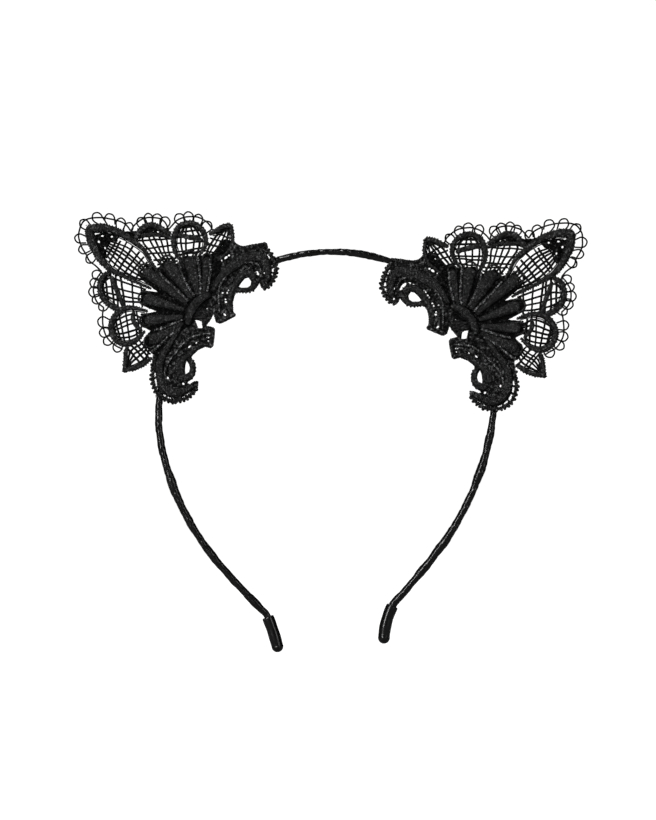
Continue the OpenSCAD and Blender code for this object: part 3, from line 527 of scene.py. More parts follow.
class Shade:
    """A principled material, with short calls for the nodes that vary its surface."""

    def __init__(self, name, color, rough, specular, **sockets):
        self.mat = bpy.data.materials.new(name)
        self.mat.use_nodes = True
        self.tree = self.mat.node_tree
        self.bsdf = self.tree.nodes["Principled BSDF"]
        self.bsdf.inputs["Base Color"].default_value = (*color, 1)
        self.bsdf.inputs["Roughness"].default_value = rough
        self.bsdf.inputs["Specular IOR Level"].default_value = specular
        for key, value in sockets.items():
            self.bsdf.inputs[key.replace("_", " ").title()].default_value = value

    def node(self, kind, **values):
        """A new node with its settings, or with values on its sockets."""
        made = self.tree.nodes.new("ShaderNode" + kind)
        for key, value in values.items():
            if hasattr(made, key):
                setattr(made, key, value)
            else:
                made.inputs[key.replace("_", " ").title()].default_value = value
        return made

    def link(self, a, b):
        self.tree.links.new(a, b)

    def noise(self, scale, detail):
        coord = self.node("TexCoord")
        tex = self.node("TexNoise", scale=scale, detail=detail, roughness=0.6)
        self.link(coord.outputs["Object"], tex.inputs["Vector"])
        return tex.outputs["Fac"]

    def vary(self, socket, value, stops):
        """A socket that follows a value, by rows of (position, grey or colour)."""
        ramp = self.node("ValToRGB")
        elements = ramp.color_ramp.elements
        elements[0].position = stops[0][0]
        elements[1].position = stops[-1][0]
        for at, _ in stops[1:-1]:
            elements.new(at)
        for element, (_, colour) in zip(sorted(elements, key=lambda e: e.position), stops):
            shown = colour if isinstance(colour, tuple) else (colour, colour, colour)
            element.color = (*shown, 1)
        self.link(value, ramp.inputs["Fac"])
        self.link(ramp.outputs["Color"], self.bsdf.inputs[socket])

    def stripes(self, pitch, distortion, slant=0.0):
        """Fine threads laid across the cord, from its own length in millimetres."""
        uv = self.node("UVMap", uv_map="Thread")
        mapping = self.node("Mapping")
        mapping.inputs["Rotation"].default_value = (0, 0, slant)
        wave = self.node("TexWave", scale=1 / (math.pi * pitch), distortion=distortion, detail=2.0)
        self.link(uv.outputs["UV"], mapping.inputs["Vector"])
        self.link(mapping.outputs["Vector"], wave.inputs["Vector"])
        return wave.outputs["Fac"]

    def bump(self, *layers):
        """Fine relief from rows of (height, strength, distance), one over the other."""
        normal = None
        for height, strength, distance in layers:
            made = self.node("Bump", strength=strength, distance=distance)
            self.link(height, made.inputs["Height"])
            if normal is not None:
                self.link(normal, made.inputs["Normal"])
            normal = made.outputs["Normal"]
        self.link(normal, self.bsdf.inputs["Normal"])


def thread_material(name, dark, light, rough, specular, glint_scale, above, relief):
    """Black polyester stitching, with light specks painted into its colour as glints where single threads
    catch the light.
    """
    s = Shade(name, (dark, dark, dark), rough, specular)
    spots = s.noise(glint_scale, 2.0)
    # The lighter tones are painted glints, not a colour of the thread.
    painted_glint_tones = [(above - 0.12, dark), (above, light * 0.2), (above + 0.1, (light, light, light * 1.03))]
    s.vary("Base Color", spots, painted_glint_tones)
    s.vary("Roughness", spots, [(0.35, rough + 0.12), (0.7, rough - 0.12)])
    s.bump((s.noise(1300, 3.0), 1.0, relief), (s.stripes(0.5, 1.2), 0.6, 0.00015))
    return s.mat


def ribbon_material():
    s = Shade("satin_ribbon", (0.001, 0.001, 0.001), 0.24, 0.32)
    s.vary("Base Color", s.noise(260, 3.0), [(0.3, 0.001), (0.75, 0.005)])
    s.vary("Roughness", s.noise(420, 3.0), [(0.3, 0.17), (0.75, 0.3)])
    s.bump((s.noise(300, 4.0), 0.55, 0.0005), (s.stripes(0.25, 0.6, 1.2), 0.25, 0.00005))
    return s.mat


def vinyl_material():
    s = Shade("black_vinyl", (0.001, 0.001, 0.001), 0.25, 0.35, coat_weight=0.05, coat_roughness=0.12)
    s.vary("Roughness", s.noise(500, 3.0), [(0.35, 0.22), (0.7, 0.28)])
    s.vary("Base Color", s.noise(90, 2.0), [(0.3, 0.001), (0.75, 0.003)])
    s.bump((s.noise(160, 2.0), 0.35, 0.0006))
    return s.mat


def wire_material():
    s = Shade("spring_wire", (0.5, 0.5, 0.52), 0.32, 0.5, metallic=1.0)
    s.vary("Roughness", s.noise(900, 2.0), [(0.3, 0.26), (0.7, 0.42)])
    return s.mat


# The light grey of each thread material is the colour of its painted glints.
NET_MAT = thread_material("lace_thread", 0.001, 0.02, 0.7, 0.12, 900, 0.62, 0.0003)
CORD_MAT = thread_material("corded_stitch", 0.001, 0.09, 0.42, 0.2, 1100, 0.6, 0.0008)
SATIN_MAT = thread_material("satin_stitch", 0.001, 0.07, 0.4, 0.22, 1400, 0.6, 0.0008)
GROUND_MAT = thread_material("lace_ground", 0.001, 0.15, 0.5, 0.11, 1100, 0.58, 0.001)
# The fan ground is the lace ground's material with fewer, dimmer painted glints: painted shade for the ground
# sunk between the fan's ribs, used in the patches too.
FAN_SHADE_MAT = thread_material("fan_ground_painted_shade", 0.0008, 0.05, 0.55, 0.06, 1100, 0.62, 0.0008)
# The line material is a lighter copy of the cord stitching: a painted highlight along the scroll lines and
# the rib partings.
LINE_HIGHLIGHT_MAT = thread_material("line_stitch_painted_highlight", 0.002, 0.34, 0.45, 0.25, 1000, 0.54, 0.001)
TIE_MAT = thread_material("sewing_thread", 0.0015, 0.02, 0.55, 0.2, 900, 0.6, 0.0003)
RIBBON_MAT = ribbon_material()
VINYL_MAT = vinyl_material()
WIRE_MAT = wire_material()


# ---- band

def band_path(side, step):
    """Centreline of one side, from the crown to the end of the cap, and where the cap's mouth is."""
    arcs, tip = (RIGHT_ARCS, RIGHT_TIP) if side == "right" else (LEFT_ARCS, LEFT_TIP)
    p = np.array([0.0, WRAP_R])
    h = math.radians(CROWN_TILT if side == "right" else -CROWN_TILT)
    out = []
    for r, a in arcs + [(-tip[0], tip[1])]:
        centre = p + r * np.array([math.sin(h), -math.cos(h)])
        turned = h - math.copysign(math.radians(a), r)
        for k in np.linspace(h, turned, 60, endpoint=False):
            out.append(centre - r * np.array([math.sin(k), -math.cos(k)]))
        p = centre - r * np.array([math.sin(turned), -math.cos(turned)])
        h = turned
    mouth = sum(abs(r) * math.radians(a) for r, a in arcs)
    for k in np.linspace(0, tip[2], 12):
        out.append(p + k * np.array([math.cos(h), math.sin(h)]))
    c = even(np.array(out), step)
    return (c if side == "right" else c * [-1, 1]), mouth


def ribbon_wrap():
    """The ribbon's winding from cap to cap, as one tube with the shape of its overlaps."""
    left, _ = band_path("left", 0.22)
    right, _ = band_path("right", 0.22)
    c = np.vstack([left[::-1], right[1:]])
    crown = lengths(left)[-1]
    rng = np.random.default_rng(RIBBON_SEED)
    total = lengths(c)[-1]
    knots = np.arange(0, total + 6, DRIFT_STEP)
    lumps = rng.uniform(-0.09, 0.12, len(knots))
    pitch_drift = np.cumsum(rng.uniform(0.85, 1.2, len(knots)))
    folds = [(crown + at, reach, height) for at, reach, height in CROWN_FOLDS]
    run = lengths(c)
    for sign, bunches in ((1, RIGHT_BUNCHES), (-1, LEFT_BUNCHES)):
        leg = np.flatnonzero((c[:, 0] * sign > 0) & (run * sign > (crown + 60 * sign) * sign))
        for z, reach, height in bunches:
            k = leg[np.argmin(np.abs(c[leg, 1] - z))]
            folds.append((run[k], reach, height))

    def profile(s, theta):
        """Extra radius from overlaps, creases, lumps and bunches, and from the slack on the legs."""
        wind = np.interp(s, knots, pitch_drift * DRIFT_STEP / TURN_LENGTH)
        turn = np.mod(theta / (2 * math.pi) - wind, 1.0)
        step = EDGE_HEIGHT * turn * (1 - np.exp(-(1 - turn) * 26))
        crease = 0.05 * np.sin(2 * math.pi * (turn * 3.0 + s / 23.0)) * np.sin(s / 3.1)
        bulge = sum(h * np.exp(-((s - at + 1.2 * np.cos(theta)) / w) ** 2) for at, w, h in folds)
        slack = 0.16 / (1 + np.exp((110 - np.abs(s - crown)) / 5))
        return step - 0.07 + crease + np.interp(s, knots, lumps) + bulge + slack

    m = Stitchery()
    m.sweep(c, 2 * WRAP_R, 2 * WRAP_R, 0.0, sides=40, round_ends=False, profile=profile)
    m.piece("ribbon_winding", RIBBON_MAT, "satin_ribbon", "ribbon_wrap")


def tip_cap(side):
    """A glossy cap over one end of the band."""
    c, mouth = band_path(side, 0.2)
    c = c[lengths(c) >= mouth - 0.2]
    s = lengths(c)
    # the cap's own outline: a rounded lip at the mouth, a slightly slack tube and a domed end
    tube = np.arange(0.8, s[-1], 0.35)
    dome = np.linspace(0, 1.5, 12)
    along = np.r_[np.linspace(0, 0.5, 5), tube, s[-1] + CAP_R * np.sin(dome)]
    radius = np.r_[CAP_R - 0.28 + 0.28 * np.sin(np.linspace(0, math.pi / 2, 5)),
                   CAP_R + 0.05 * np.sin(tube * 0.9), CAP_R * np.cos(dome)]
    end = unit(c[-1] - c[-2])
    past = np.maximum(along - s[-1], 0)
    pts = np.stack([np.interp(along, s, c[:, k]) + past * end[k] for k in (0, 1)], 1)
    # the mouth turns in to the winding
    pts = np.vstack([pts[[2, 1, 0]], pts])
    radius = np.r_[WRAP_R + 0.12, WRAP_R + 0.35, WRAP_R + 0.7, radius]
    tangent = np.gradient(np.vstack([c[0] + (c[0] - c[1]) * 3, c[::6], c[-1] + end * 3]), axis=0)
    heads = np.unwrap(np.arctan2(tangent[1:-1, 1], tangent[1:-1, 0]))
    head = np.interp(np.r_[0, 0, 0, np.minimum(along, s[-1])], s[::6], heads)
    theta = around(CAP_SIDES)
    grid = np.empty((len(pts), CAP_SIDES, 3))
    nx, nz = -np.sin(head), np.cos(head)
    grid[:, :, 0] = pts[:, 0, None] + nx[:, None] * radius[:, None] * np.cos(theta)
    grid[:, :, 2] = pts[:, 1, None] + nz[:, None] * radius[:, None] * np.cos(theta)
    grid[:, :, 1] = -radius[:, None] * np.sin(theta)
    m = Stitchery()
    m.grid(grid, np.r_[0, 0, 0, along])
    m.piece(side + "_vinyl_cap", VINYL_MAT, "black_vinyl", side + "_tip_cap")


# ---- lace

def petal(side, i, rng):
    """A corded outline with knots on its outside, and a thin line of stitches inside it."""
    m = Stitchery()
    centre = placed(side, [PETAL_CENTRES[i]])[0]
    for part in PETALS[i]:
        c = stroke(side, part, CORD_STEP)
        n = len(c)
        width = c[:, 2] * (1.05 + wobble(rng, n, 0.07, 9))
        height = np.clip(width * 0.8, 1.1, 2.0)
        c = sway(c, rng, 0.10, 14)
        m.sweep(c, width, height, CORD_MID, sides=14, ridge=0.1, pitch=0.42, slant=0.7, square=0.85)
        outward = away(c, centre)
        s = lengths(c)
        at = 0.6
        while at < s[-1] - 0.4:
            k = int(np.searchsorted(s, at))
            r = rng.uniform(0.22, 0.36)
            m.knot(c[k, :2] + outward[k] * (width[k] / 2 + r * 0.1), CORD_MID + rng.uniform(-0.5, 0.2), r)
            at += rng.uniform(0.8, 1.5)
        if n > 60:
            inner = c[10:-10].copy()
            gap = width[10:-10] / 2 + 0.25 + wobble(rng, n - 20, 0.15, 20)
            inner[:, :2] -= outward[10:-10] * gap[:, None]
            m.sweep(even(inner, 0.14), 0.5, 0.6, GROUND_MID, sides=7, ridge=0.12, pitch=0.5)
    m.piece(f"{side}_petal_{i + 1}_cord", CORD_MAT, "corded_stitch", f"{side}_petal_{i + 1}")


def petal_bars(side, rng):
    """The satin bars that cross inside petals."""
    m = Stitchery()
    for bar in PETAL_BARS:
        c = stroke(side, bar, CORD_STEP)
        m.sweep(c, c[:, 2] * (1 + wobble(rng, len(c), 0.15, 8)), 1.1, GROUND_MID + 0.3, sides=12,
                ridge=0.12, pitch=0.45, slant=0.5)
    m.piece(side + "_petal_bar_stitch", SATIN_MAT, "satin_stitch", side + "_petal_bars")


def net_thread(m, c, rng, depth):
    """One thread of a net."""
    m.sweep(c, NET_THREAD * rng.uniform(0.85, 1.15), NET_THREAD * 1.1, depth, sides=6, round_ends=False)


def net(side, rng):
    """Threads that cross in each petal, with knots at many of the crossings."""
    m = Stitchery()
    for a, b, long_count, cross_count in NETS:
        a, b = smooth(placed(side, a), 10), smooth(placed(side, b), 10)
        last = len(a) - 1
        jitter = rng.uniform(-0.22, 0.22, long_count)
        fractions = (np.arange(1, long_count + 1) + jitter) / (long_count + 1)
        jitter = rng.uniform(-0.25, 0.25, cross_count)
        stations = (np.arange(cross_count) + 0.5 + jitter) / cross_count * last
        tilt = rng.uniform(-0.6, 0.6, cross_count)
        drift = [wobble(rng, last + 1, 0.18, 8) for _ in fractions]
        for k, f in enumerate(fractions):
            c = a + (b - a) * f
            c = even(c + normals(c) * drift[k][:, None], 0.3)
            weave = GROUND_MID + 0.12 * np.sin(np.arange(len(c)) * 0.9 + k * 3.1)
            net_thread(m, c, rng, weave)
        for at, lean in zip(stations, tilt):
            i = np.clip(at + lean * np.linspace(-1, 1, CROSS_ROWS), 0, last - 1e-6)
            f = np.linspace(0, 1, CROSS_ROWS)
            low = i.astype(int)
            part = (i - low)[:, None]
            p = a[low] + (a[low + 1] - a[low]) * part
            q = b[low] + (b[low + 1] - b[low]) * part
            c = p + (q - p) * f[:, None]
            if lengths(c)[-1] < 1.2:
                continue
            c = even(smooth(sway(c, rng, 0.16, 3), 3), 0.3)
            net_thread(m, c, rng, GROUND_MID + 0.1)
            for g in fractions:
                if rng.random() < 0.75:
                    j = int(g * (CROSS_ROWS - 1))
                    m.knot(p[j] + (q[j] - p[j]) * g, GROUND_MID, rng.uniform(0.24, 0.38))
    m.piece(side + "_net_threads", NET_MAT, "lace_thread", side + "_net")


def scribble(m, outline, rng, spacing, thread, depth, angles, holes=()):
    """Stitches criss-crossed inside an outline and round its openings."""
    middle = outline.mean(axis=0)
    reach = np.linalg.norm(outline - middle, axis=1).max()
    for angle in angles:
        turned = math.radians(angle + rng.uniform(-8, 8))
        d = np.array([math.cos(turned), math.sin(turned)])
        e = np.array([-d[1], d[0]])
        for off in np.arange(-reach, reach, spacing):
            off += rng.uniform(-0.35, 0.35) * spacing
            t = np.arange(-reach, reach, 0.3)
            line = middle + e * off + d * t[:, None]
            line = line + e * wobble(rng, len(t), 0.3 * spacing, 5)[:, None]
            ok = inside(line, outline)
            for hole in holes:
                ok &= ~inside(line, hole)
            edges = np.flatnonzero(np.diff(np.r_[0, ok.astype(int), 0]))
            for start, stop in zip(edges[::2], edges[1::2]):
                if stop - start >= 4:
                    part = line[start:stop]
                    level = depth + rng.uniform(-0.18, 0.22) + 0.1 * np.sin(np.arange(len(part)) * 0.8)
                    m.sweep(part, thread * rng.uniform(0.8, 1.2), thread * 1.2, level, sides=5,
                            round_ends=False)


def lens(x, z, long, wide, degrees):
    """The outline of a small pointed opening."""
    a = around(10)
    u, v = np.cos(a) * long / 2, np.sin(a) * np.abs(np.sin(a)) ** 0.3 * wide / 2
    c, s = math.cos(math.radians(degrees)), math.sin(math.radians(degrees))
    return np.stack([x + u * c - v * s, z + u * s + v * c], 1)


def filled(m, side, outline, slits, rng, holes=()):
    """Ground stitched solid inside an outline, but for its openings, with small knots standing out of it."""
    outline = placed(side, outline)
    holes = [placed(side, lens(*slit)) for slit in slits] + [placed(side, hole) for hole in holes]
    m.plate(outline, GROUND_MID - 0.2, GROUND_MID + 0.1, holes)
    clear = []
    for hole in holes:
        spokes = hole - hole.mean(axis=0)
        clear.append(hole + spokes * 0.25 / np.linalg.norm(spokes, axis=1).mean())
    scribble(m, outline, rng, 0.62, 0.5, GROUND_MID + 0.3, (15, 65, 115, 165), clear)
    scribble(m, outline, rng, 0.9, 0.5, GROUND_MID - 0.25, (40, 140), clear)
    low, high = outline.min(axis=0), outline.max(axis=0)
    spots = rng.uniform(low, high, (int(np.prod(high - low) * 1.1), 2))
    ok = inside(spots, outline)
    for hole in clear:
        ok &= ~inside(spots, hole)
    for spot in spots[ok]:
        m.knot(spot, GROUND_MID + rng.uniform(0.35, 0.6), rng.uniform(0.22, 0.38), 0.9)


def ground(side, rng):
    """Stitched ground behind the fan and in the patches, darkened as painted shade, and the cords that part
    the ribs, brightened as a painted highlight.
    """
    m = Stitchery()
    for outline in [GROUND, *PATCHES]:
        filled(m, side, outline, PATCH_SLITS, rng)
    m.piece(side + "_ground_stitch", FAN_SHADE_MAT, "lace_ground", side + "_ground")
    m = Stitchery()
    for part in PARTINGS:
        c = stroke(side, part, CORD_STEP)
        m.sweep(c, 0.9 + wobble(rng, len(c), 0.25, 6), 1.6, CORD_MID + 0.15, sides=10, ridge=0.4,
                pitch=0.95, slant=0.3)
        for k in range(3, len(c) - 3, 8):
            m.knot(c[k, :2] + rng.uniform(-0.25, 0.25, 2), CORD_MID + 0.75, rng.uniform(0.24, 0.4), 0.9)
    m.piece(side + "_ground_partings", LINE_HIGHLIGHT_MAT, "corded_stitch", side + "_ground")


def picots(side, rng):
    """The edge thread and the picot loops on it."""
    m = Stitchery()
    threads = [sway(stroke(side, line, 0.3), rng, 0.16, 9) for line in EDGE_THREADS]
    for c in threads:
        m.sweep(c, THREAD, THREAD * 1.1, GROUND_MID, sides=6, round_ends=False)
    run = np.vstack(threads)[:, :2]
    for centre, apexes in PICOTS:
        middle = np.array(centre, float)
        for apex in np.array(apexes, float):
            d = unit(apex - middle)
            turned = rng.uniform(-0.16, 0.16)
            cos, sin = math.cos(turned), math.sin(turned)
            d = np.array([d[0] * cos - d[1] * sin, d[0] * sin + d[1] * cos])
            n = np.array([-d[1], d[0]]) * PICOT_WIDTH * rng.uniform(0.86, 1.04)
            h = PICOT_HEIGHT * rng.uniform(0.95, 1.08)
            shape = [(-1.0, 0.34), (-0.72, 0.42), (-0.42, 0.5), (-0.16, 0.38), (0, 0.0)]
            points = [apex + d * h * u + n * v for u, v in shape]
            points += [apex + d * h * u - n * v for u, v in shape[-2::-1]]
            c = even(smooth(placed(side, points), 6), 0.28)
            m.sweep(c, THREAD * 0.95, THREAD, GROUND_MID + 0.1, sides=6, round_ends=False)
            for half in (c[:len(c) // 2], c[len(c) // 2:]):
                gap = np.linalg.norm(half[:, None, :] - run[None], axis=2)
                k = np.unravel_index(np.argmin(gap), gap.shape)
                if gap[k] < 0.5:
                    m.knot(half[k[0]], GROUND_MID + 0.05, rng.uniform(0.34, 0.46))
    m.piece(side + "_picot_loops", NET_MAT, "lace_thread", side + "_picots")


def fan_ribs(side, rng):
    """The padded ribs, and a ring round the bulb of each."""
    ribs, rings = Stitchery(), Stitchery()
    for i, (foot, bulb, wide) in enumerate(RIBS):
        foot, bulb = np.array(foot, float), np.array(bulb, float)
        out = unit(bulb - foot)
        points = [[*foot, 1.5], [*(foot + (bulb - foot) * 0.35), wide * 0.58],
                  [*(foot + (bulb - foot) * 0.75), wide * 0.9], [*bulb, wide],
                  [*(bulb + out * wide * 0.42), wide * 0.92]]
        c = stroke(side, points, CORD_STEP)
        ridge, pitch, slant = (0.34, 0.9, 1.3) if i in CROSSED_RIBS else (0.16, 0.7, 0.35)
        width = c[:, 2] * (1 + wobble(rng, len(c), 0.04, 12))
        ribs.sweep(c, width, np.clip(c[:, 2] * 0.42, 1.2, 2.0), CORD_MID + 0.35, sides=22, ridge=ridge,
                   pitch=pitch, slant=slant, square=0.8)
        centre = placed(side, [bulb + out * wide * 0.3])[0]
        a = np.linspace(-0.35, math.pi * 2 - 0.35, 60)
        r = wide * 0.56
        ring = np.stack([centre[0] + r * np.cos(a), centre[1] + r * np.sin(a)], 1)
        rings.sweep(ring, 0.9, 1.3, CORD_MID + 0.1, sides=10, ridge=0.2, pitch=0.7, slant=0.3,
                    round_ends=False)
    ribs.piece(side + "_rib_satin", SATIN_MAT, "satin_stitch", side + "_fan_ribs")
    rings.piece(side + "_rib_ring_cords", CORD_MAT, "corded_stitch", side + "_rib_rings")


def satin_band(side, points, node, rng):
    """A padded cord with stitches across it."""
    m = Stitchery()
    c = stroke(side, points, CORD_STEP)
    m.sweep(c, c[:, 2] * (1 + wobble(rng, len(c), 0.05, 12)), SATIN_HEIGHT, CORD_MID + 0.25, sides=22,
            ridge=0.14, pitch=0.7, slant=0.5, square=0.75)
    m.piece(side + "_" + node + "_satin", SATIN_MAT, "satin_stitch", side + "_" + node)


def scroll_ground(side, rng):
    """The stitched ground under the scrolls, with its rim and its lines painted bright as highlights."""
    m, lines = Stitchery(), Stitchery()
    scrolls = zip(SCROLL_GROUND, SLITS, EYELET_HOLES, (LINE_UPPER, LINE_LOWER))
    for outline, slits, eyelet_hole, line in scrolls:
        filled(m, side, outline, slits, rng, [eyelet_hole])
        rim = even(placed(side, outline + outline[:1]), 0.16)
        m.sweep(rim, 0.75 + wobble(rng, len(rim), 0.15, 8), 1.0, GROUND_MID + 0.1, sides=8, ridge=0.2,
                pitch=0.7)
        c = stroke(side, line, CORD_STEP)
        lines.sweep(c, c[:, 2] * 0.75, 1.3, CORD_MID + 0.4, sides=10, ridge=0.3, pitch=0.8, slant=0.4)
    m.piece(side + "_scroll_ground_stitch", GROUND_MAT, "lace_ground", side + "_scroll_ground")
    lines.piece(side + "_scroll_lines", LINE_HIGHLIGHT_MAT, "corded_stitch", side + "_scroll_ground")


def nubs(m, c, outward, rng, offset, pitch=1.6):
    """Small knots along the outside of a cord; their places along it."""
    s = lengths(c)
    at, places = 0.4, []
    while at < s[-1]:
        k = min(int(np.searchsorted(s, at)), len(c) - 1)
        depth = GROUND_MID + 0.2 + rng.uniform(-0.1, 0.15)
        m.knot(c[k, :2] + outward[k] * offset, depth, rng.uniform(0.56, 0.74))
        places.append(k)
        at += pitch * rng.uniform(0.8, 1.2)
    return places


def beads(side, points, centre, node, rng, edge=None):
    """An edge cord with nubs on its outside, held off the scroll by a few bridges."""
    m = Stitchery()
    middle = placed(side, [centre])[0]

    def cord(points, wide):
        c = sway(stroke(side, points, 0.12), rng, 0.16, 9)
        outward = away(c, middle)
        c[:, :2] -= outward * 0.3
        m.sweep(c, wide + wobble(rng, len(c), 0.25, 7), 1.4, GROUND_MID + 0.2, sides=10, ridge=0.35,
                pitch=0.8, slant=0.2)
        return c, outward

    c, outward = cord(points, 1.6)
    for k in nubs(m, c, outward, rng, 0.85)[::2]:
        lean = rng.uniform(-0.5, 0.5)
        along = np.array([outward[k][1], -outward[k][0]]) * lean
        bridge = np.array([c[k, :2], c[k, :2] - outward[k] * 1.9 + along])
        m.sweep(even(bridge, 0.3), rng.uniform(0.7, 1.1), 0.8, GROUND_MID, sides=6)
    if edge:
        c, outward = cord(edge, 1.0)
        nubs(m, c, outward, rng, 0.4, 1.2)
    m.piece(side + "_" + node + "_nubs", CORD_MAT, "corded_stitch", side + "_" + node)


def eyelet(side, parts, node, rng):
    """A corded teardrop with knots on its outside."""
    m = Stitchery()
    for part in parts:
        c = stroke(side, part, CORD_STEP)
        m.sweep(c, c[:, 2] * 1.05, 1.6, CORD_MID, sides=14, ridge=0.12, pitch=0.45, slant=0.6, square=0.85)
        outward = away(c, c[:, :2].mean(axis=0))
        for k in range(len(c) // 3, len(c), 11):
            m.knot(c[k, :2] + outward[k] * c[k, 2] * 0.56, CORD_MID - 0.3, rng.uniform(0.36, 0.5))
    m.piece(side + "_" + node + "_cord", CORD_MAT, "corded_stitch", side + "_" + node)


def collar(side, field, end, node, rng):
    """Cords along the two sides of a collar, short stitches between them and a thick cord over its end."""
    m = Stitchery()
    a, b = smooth(placed(side, field[0]), 8), smooth(placed(side, field[1]), 8)
    last = len(a) - 1
    for f, thick in ((0.08, 1.2), (0.95, 0.9)):
        c = sway(even(a + (b - a) * f, 0.12), rng, 0.12, 8)
        m.sweep(c, thick, thick * 1.3, CORD_MID - 0.1, sides=8, ridge=0.2, pitch=0.6, slant=0.3)
    for at in np.linspace(0.4, last - 0.4, 9):
        i = int(at)
        p, q = a[i] + (a[i + 1] - a[i]) * (at - i), b[i] + (b[i + 1] - b[i]) * (at - i)
        start, stop = p + (q - p) * rng.uniform(0, 0.25), p + (q - p) * rng.uniform(0.6, 0.9)
        c = even(np.linspace(start, stop, 8) + rng.uniform(-0.2, 0.2, (8, 2)), 0.15)
        m.sweep(c, 0.55, 0.8, GROUND_MID + 0.5, sides=7, ridge=0.15, pitch=0.5)
    c = stroke(side, end, CORD_STEP)
    m.sweep(c, c[:, 2], 1.8, CORD_MID, sides=14, ridge=0.16, pitch=0.55, slant=0.5, square=0.8)
    m.piece(side + "_" + node + "_lattice", GROUND_MAT, "lace_ground", side + "_" + node)


def bud(side, rng):
    """The stitched bud between the scrolls, with three cords on it."""
    m = Stitchery()
    outline = placed(side, BUD)
    m.plate(outline, GROUND_MID - 0.1, GROUND_MID + 0.3)
    scribble(m, outline, rng, 0.6, 0.55, GROUND_MID + 0.4, (20, 70, 130))
    for start, stop in BUD_CORDS:
        middle = [(start[0] + stop[0]) / 2, (start[1] + stop[1]) / 2 + 0.5]
        c = stroke(side, [[*start, 0.8], [*middle, 1.6], [*stop, 1]], CORD_STEP)
        m.sweep(c, c[:, 2], 1.4, CORD_MID, sides=12, ridge=0.12, pitch=0.45)
    m.piece(side + "_bud_stitch", CORD_MAT, "corded_stitch", side + "_bud")


def stitches(side, rng):
    """Turns of sewing thread round the band and the back of the lace."""
    m = Stitchery()
    c, _ = band_path(side, 0.2)
    s = lengths(c)
    for length in STITCHES_AT:
        for turn in range(TIE_TURNS):
            at = length + (turn - 1.5) * 0.55 + rng.uniform(-0.1, 0.1)
            k = int(np.searchsorted(s, at))
            along = unit(c[k + 1] - c[k])
            lean = rng.uniform(-0.15, 0.15)
            along = unit(np.array([along[0] - along[1] * lean, along[1] + along[0] * lean]))
            m.ring(c[k], along, TIE_ACROSS, TIE_DEEP, TIE_FORWARD, TIE_THREAD)
    m.piece(side + "_tie_threads", TIE_MAT, "sewing_thread", side + "_stitches")


ribbon_wrap()
for side in SEEDS:
    rng = np.random.default_rng(SEEDS[side])
    tip_cap(side)
    for i in range(len(PETALS)):
        petal(side, i, rng)
    petal_bars(side, rng)
    net(side, rng)
    ground(side, rng)
    picots(side, rng)
    fan_ribs(side, rng)
    satin_band(side, FAN_BASE, "fan_base", rng)
    satin_band(side, SCROLL_UPPER, "scroll_upper", rng)
    satin_band(side, SCROLL_LOWER, "scroll_lower", rng)
    scroll_ground(side, rng)
    beads(side, BEADS_UPPER, [33, -12], "beads_upper", rng, TOP_EDGE)
    beads(side, BEADS_LOWER, [67, -50], "beads_lower", rng)
    eyelet(side, EYELET_UPPER, "eyelet_upper", rng)
    eyelet(side, EYELET_LOWER, "eyelet_lower", rng)
    collar(side, COLLAR_UPPER, COLLAR_END_UPPER, "collar_upper", rng)
    collar(side, COLLAR_LOWER, COLLAR_END_LOWER, "collar_lower", rng)
    bud(side, rng)
    stitches(side, rng)

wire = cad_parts["band_wire"]
wire.data.materials.clear()
wire.data.materials.append(WIRE_MAT)


# ---- floor, light, camera

# The floor and the world show plain white to the camera, and light the object with much less.
FLOOR_Z = cad_box[0][2] - 0.0002
WORLD_LIGHT = 0.035
WORLD_SHOWN = 1.1
bpy.ops.mesh.primitive_plane_add(size=12, location=(0, 0, FLOOR_Z))
floor = bpy.context.object
floor.name = "floor"
floor_shade = Shade("pale_floor", (0.25, 0.25, 0.25), 0.9, 0.1)
floor_shade.bsdf.inputs["Emission Color"].default_value = (1, 1, 1, 1)
floor_seen = floor_shade.node("LightPath")
floor_shade.link(floor_seen.outputs["Is Camera Ray"], floor_shade.bsdf.inputs["Emission Strength"])
floor.data.materials.append(floor_shade.mat)

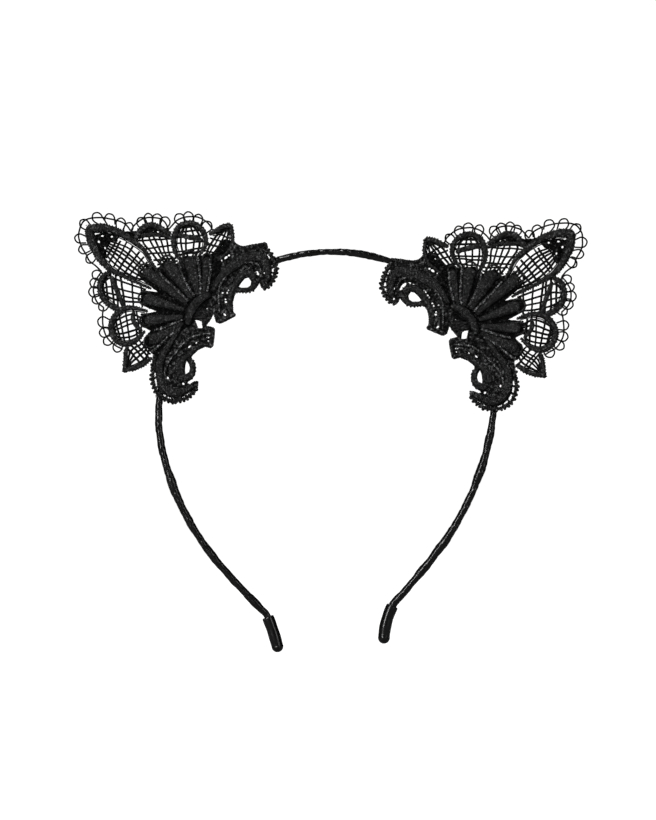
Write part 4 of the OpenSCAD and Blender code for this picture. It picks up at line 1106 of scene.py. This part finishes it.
world = bpy.data.worlds.new("studio")
scene.world = world
world.use_nodes = True
tree = world.node_tree
background = tree.nodes["Background"]
background.inputs["Color"].default_value = (1, 1, 1, 1)
soft = tree.nodes.new("ShaderNodeBackground")
soft.inputs["Strength"].default_value = WORLD_LIGHT
seen = tree.nodes.new("ShaderNodeLightPath")
mix = tree.nodes.new("ShaderNodeMixShader")
tree.links.new(seen.outputs["Is Camera Ray"], mix.inputs["Fac"])
tree.links.new(soft.outputs["Background"], mix.inputs[1])
tree.links.new(background.outputs["Background"], mix.inputs[2])
tree.links.new(mix.outputs["Shader"], tree.nodes["World Output"].inputs["Surface"])
background.inputs["Strength"].default_value = WORLD_SHOWN

# Name, place, size, power and the point that it shines at, in metres and watts.
LIGHTS = [
    ("key", (-0.55, -1.0, 0.8), (0.35, 0.5), 18, (0, 0, -0.04)),
    ("fill", (0.9, -0.9, 0.2), (0.3, 0.8), 3, (0, 0, -0.06)),
    ("back", (0, 0.9, 0.7), (0.9, 0.5), 6, (0, 0, -0.04)),
    ("strip", (-0.85, -1.05, 0.12), (0.07, 0.54), 8, (0, 0, -0.1)),
]
for name, place, size, power, target in LIGHTS:
    light_data = bpy.data.lights.new(name, "AREA")
    light_data.shape = "RECTANGLE"
    light_data.size, light_data.size_y = size
    light_data.energy = power
    light = bpy.data.objects.new(name, light_data)
    light.location = place
    light.rotation_euler = Vector(np.array(target) - np.array(place)).to_track_quat("-Z", "Y").to_euler()
    scene.collection.objects.link(light)

# A level camera: how far it stands from the point it looks at, and the height of the view there, in metres.
DISTANCE = 1.7
VIEW_HIGH = 0.328
LOOK_AT = (0.0012, -0.002, -0.062)
SENSOR_HIGH = 24
camera_data = bpy.data.cameras.new("camera")
camera_data.sensor_fit = "VERTICAL"
camera_data.sensor_height = SENSOR_HIGH
camera_data.lens = SENSOR_HIGH * DISTANCE / VIEW_HIGH
camera = bpy.data.objects.new("camera", camera_data)
camera.location = (LOOK_AT[0], LOOK_AT[1] - DISTANCE, LOOK_AT[2])
camera.rotation_euler = (math.radians(90), 0, 0)
scene.collection.objects.link(camera)
scene.camera = camera
scene.view_settings.view_transform = "Standard"
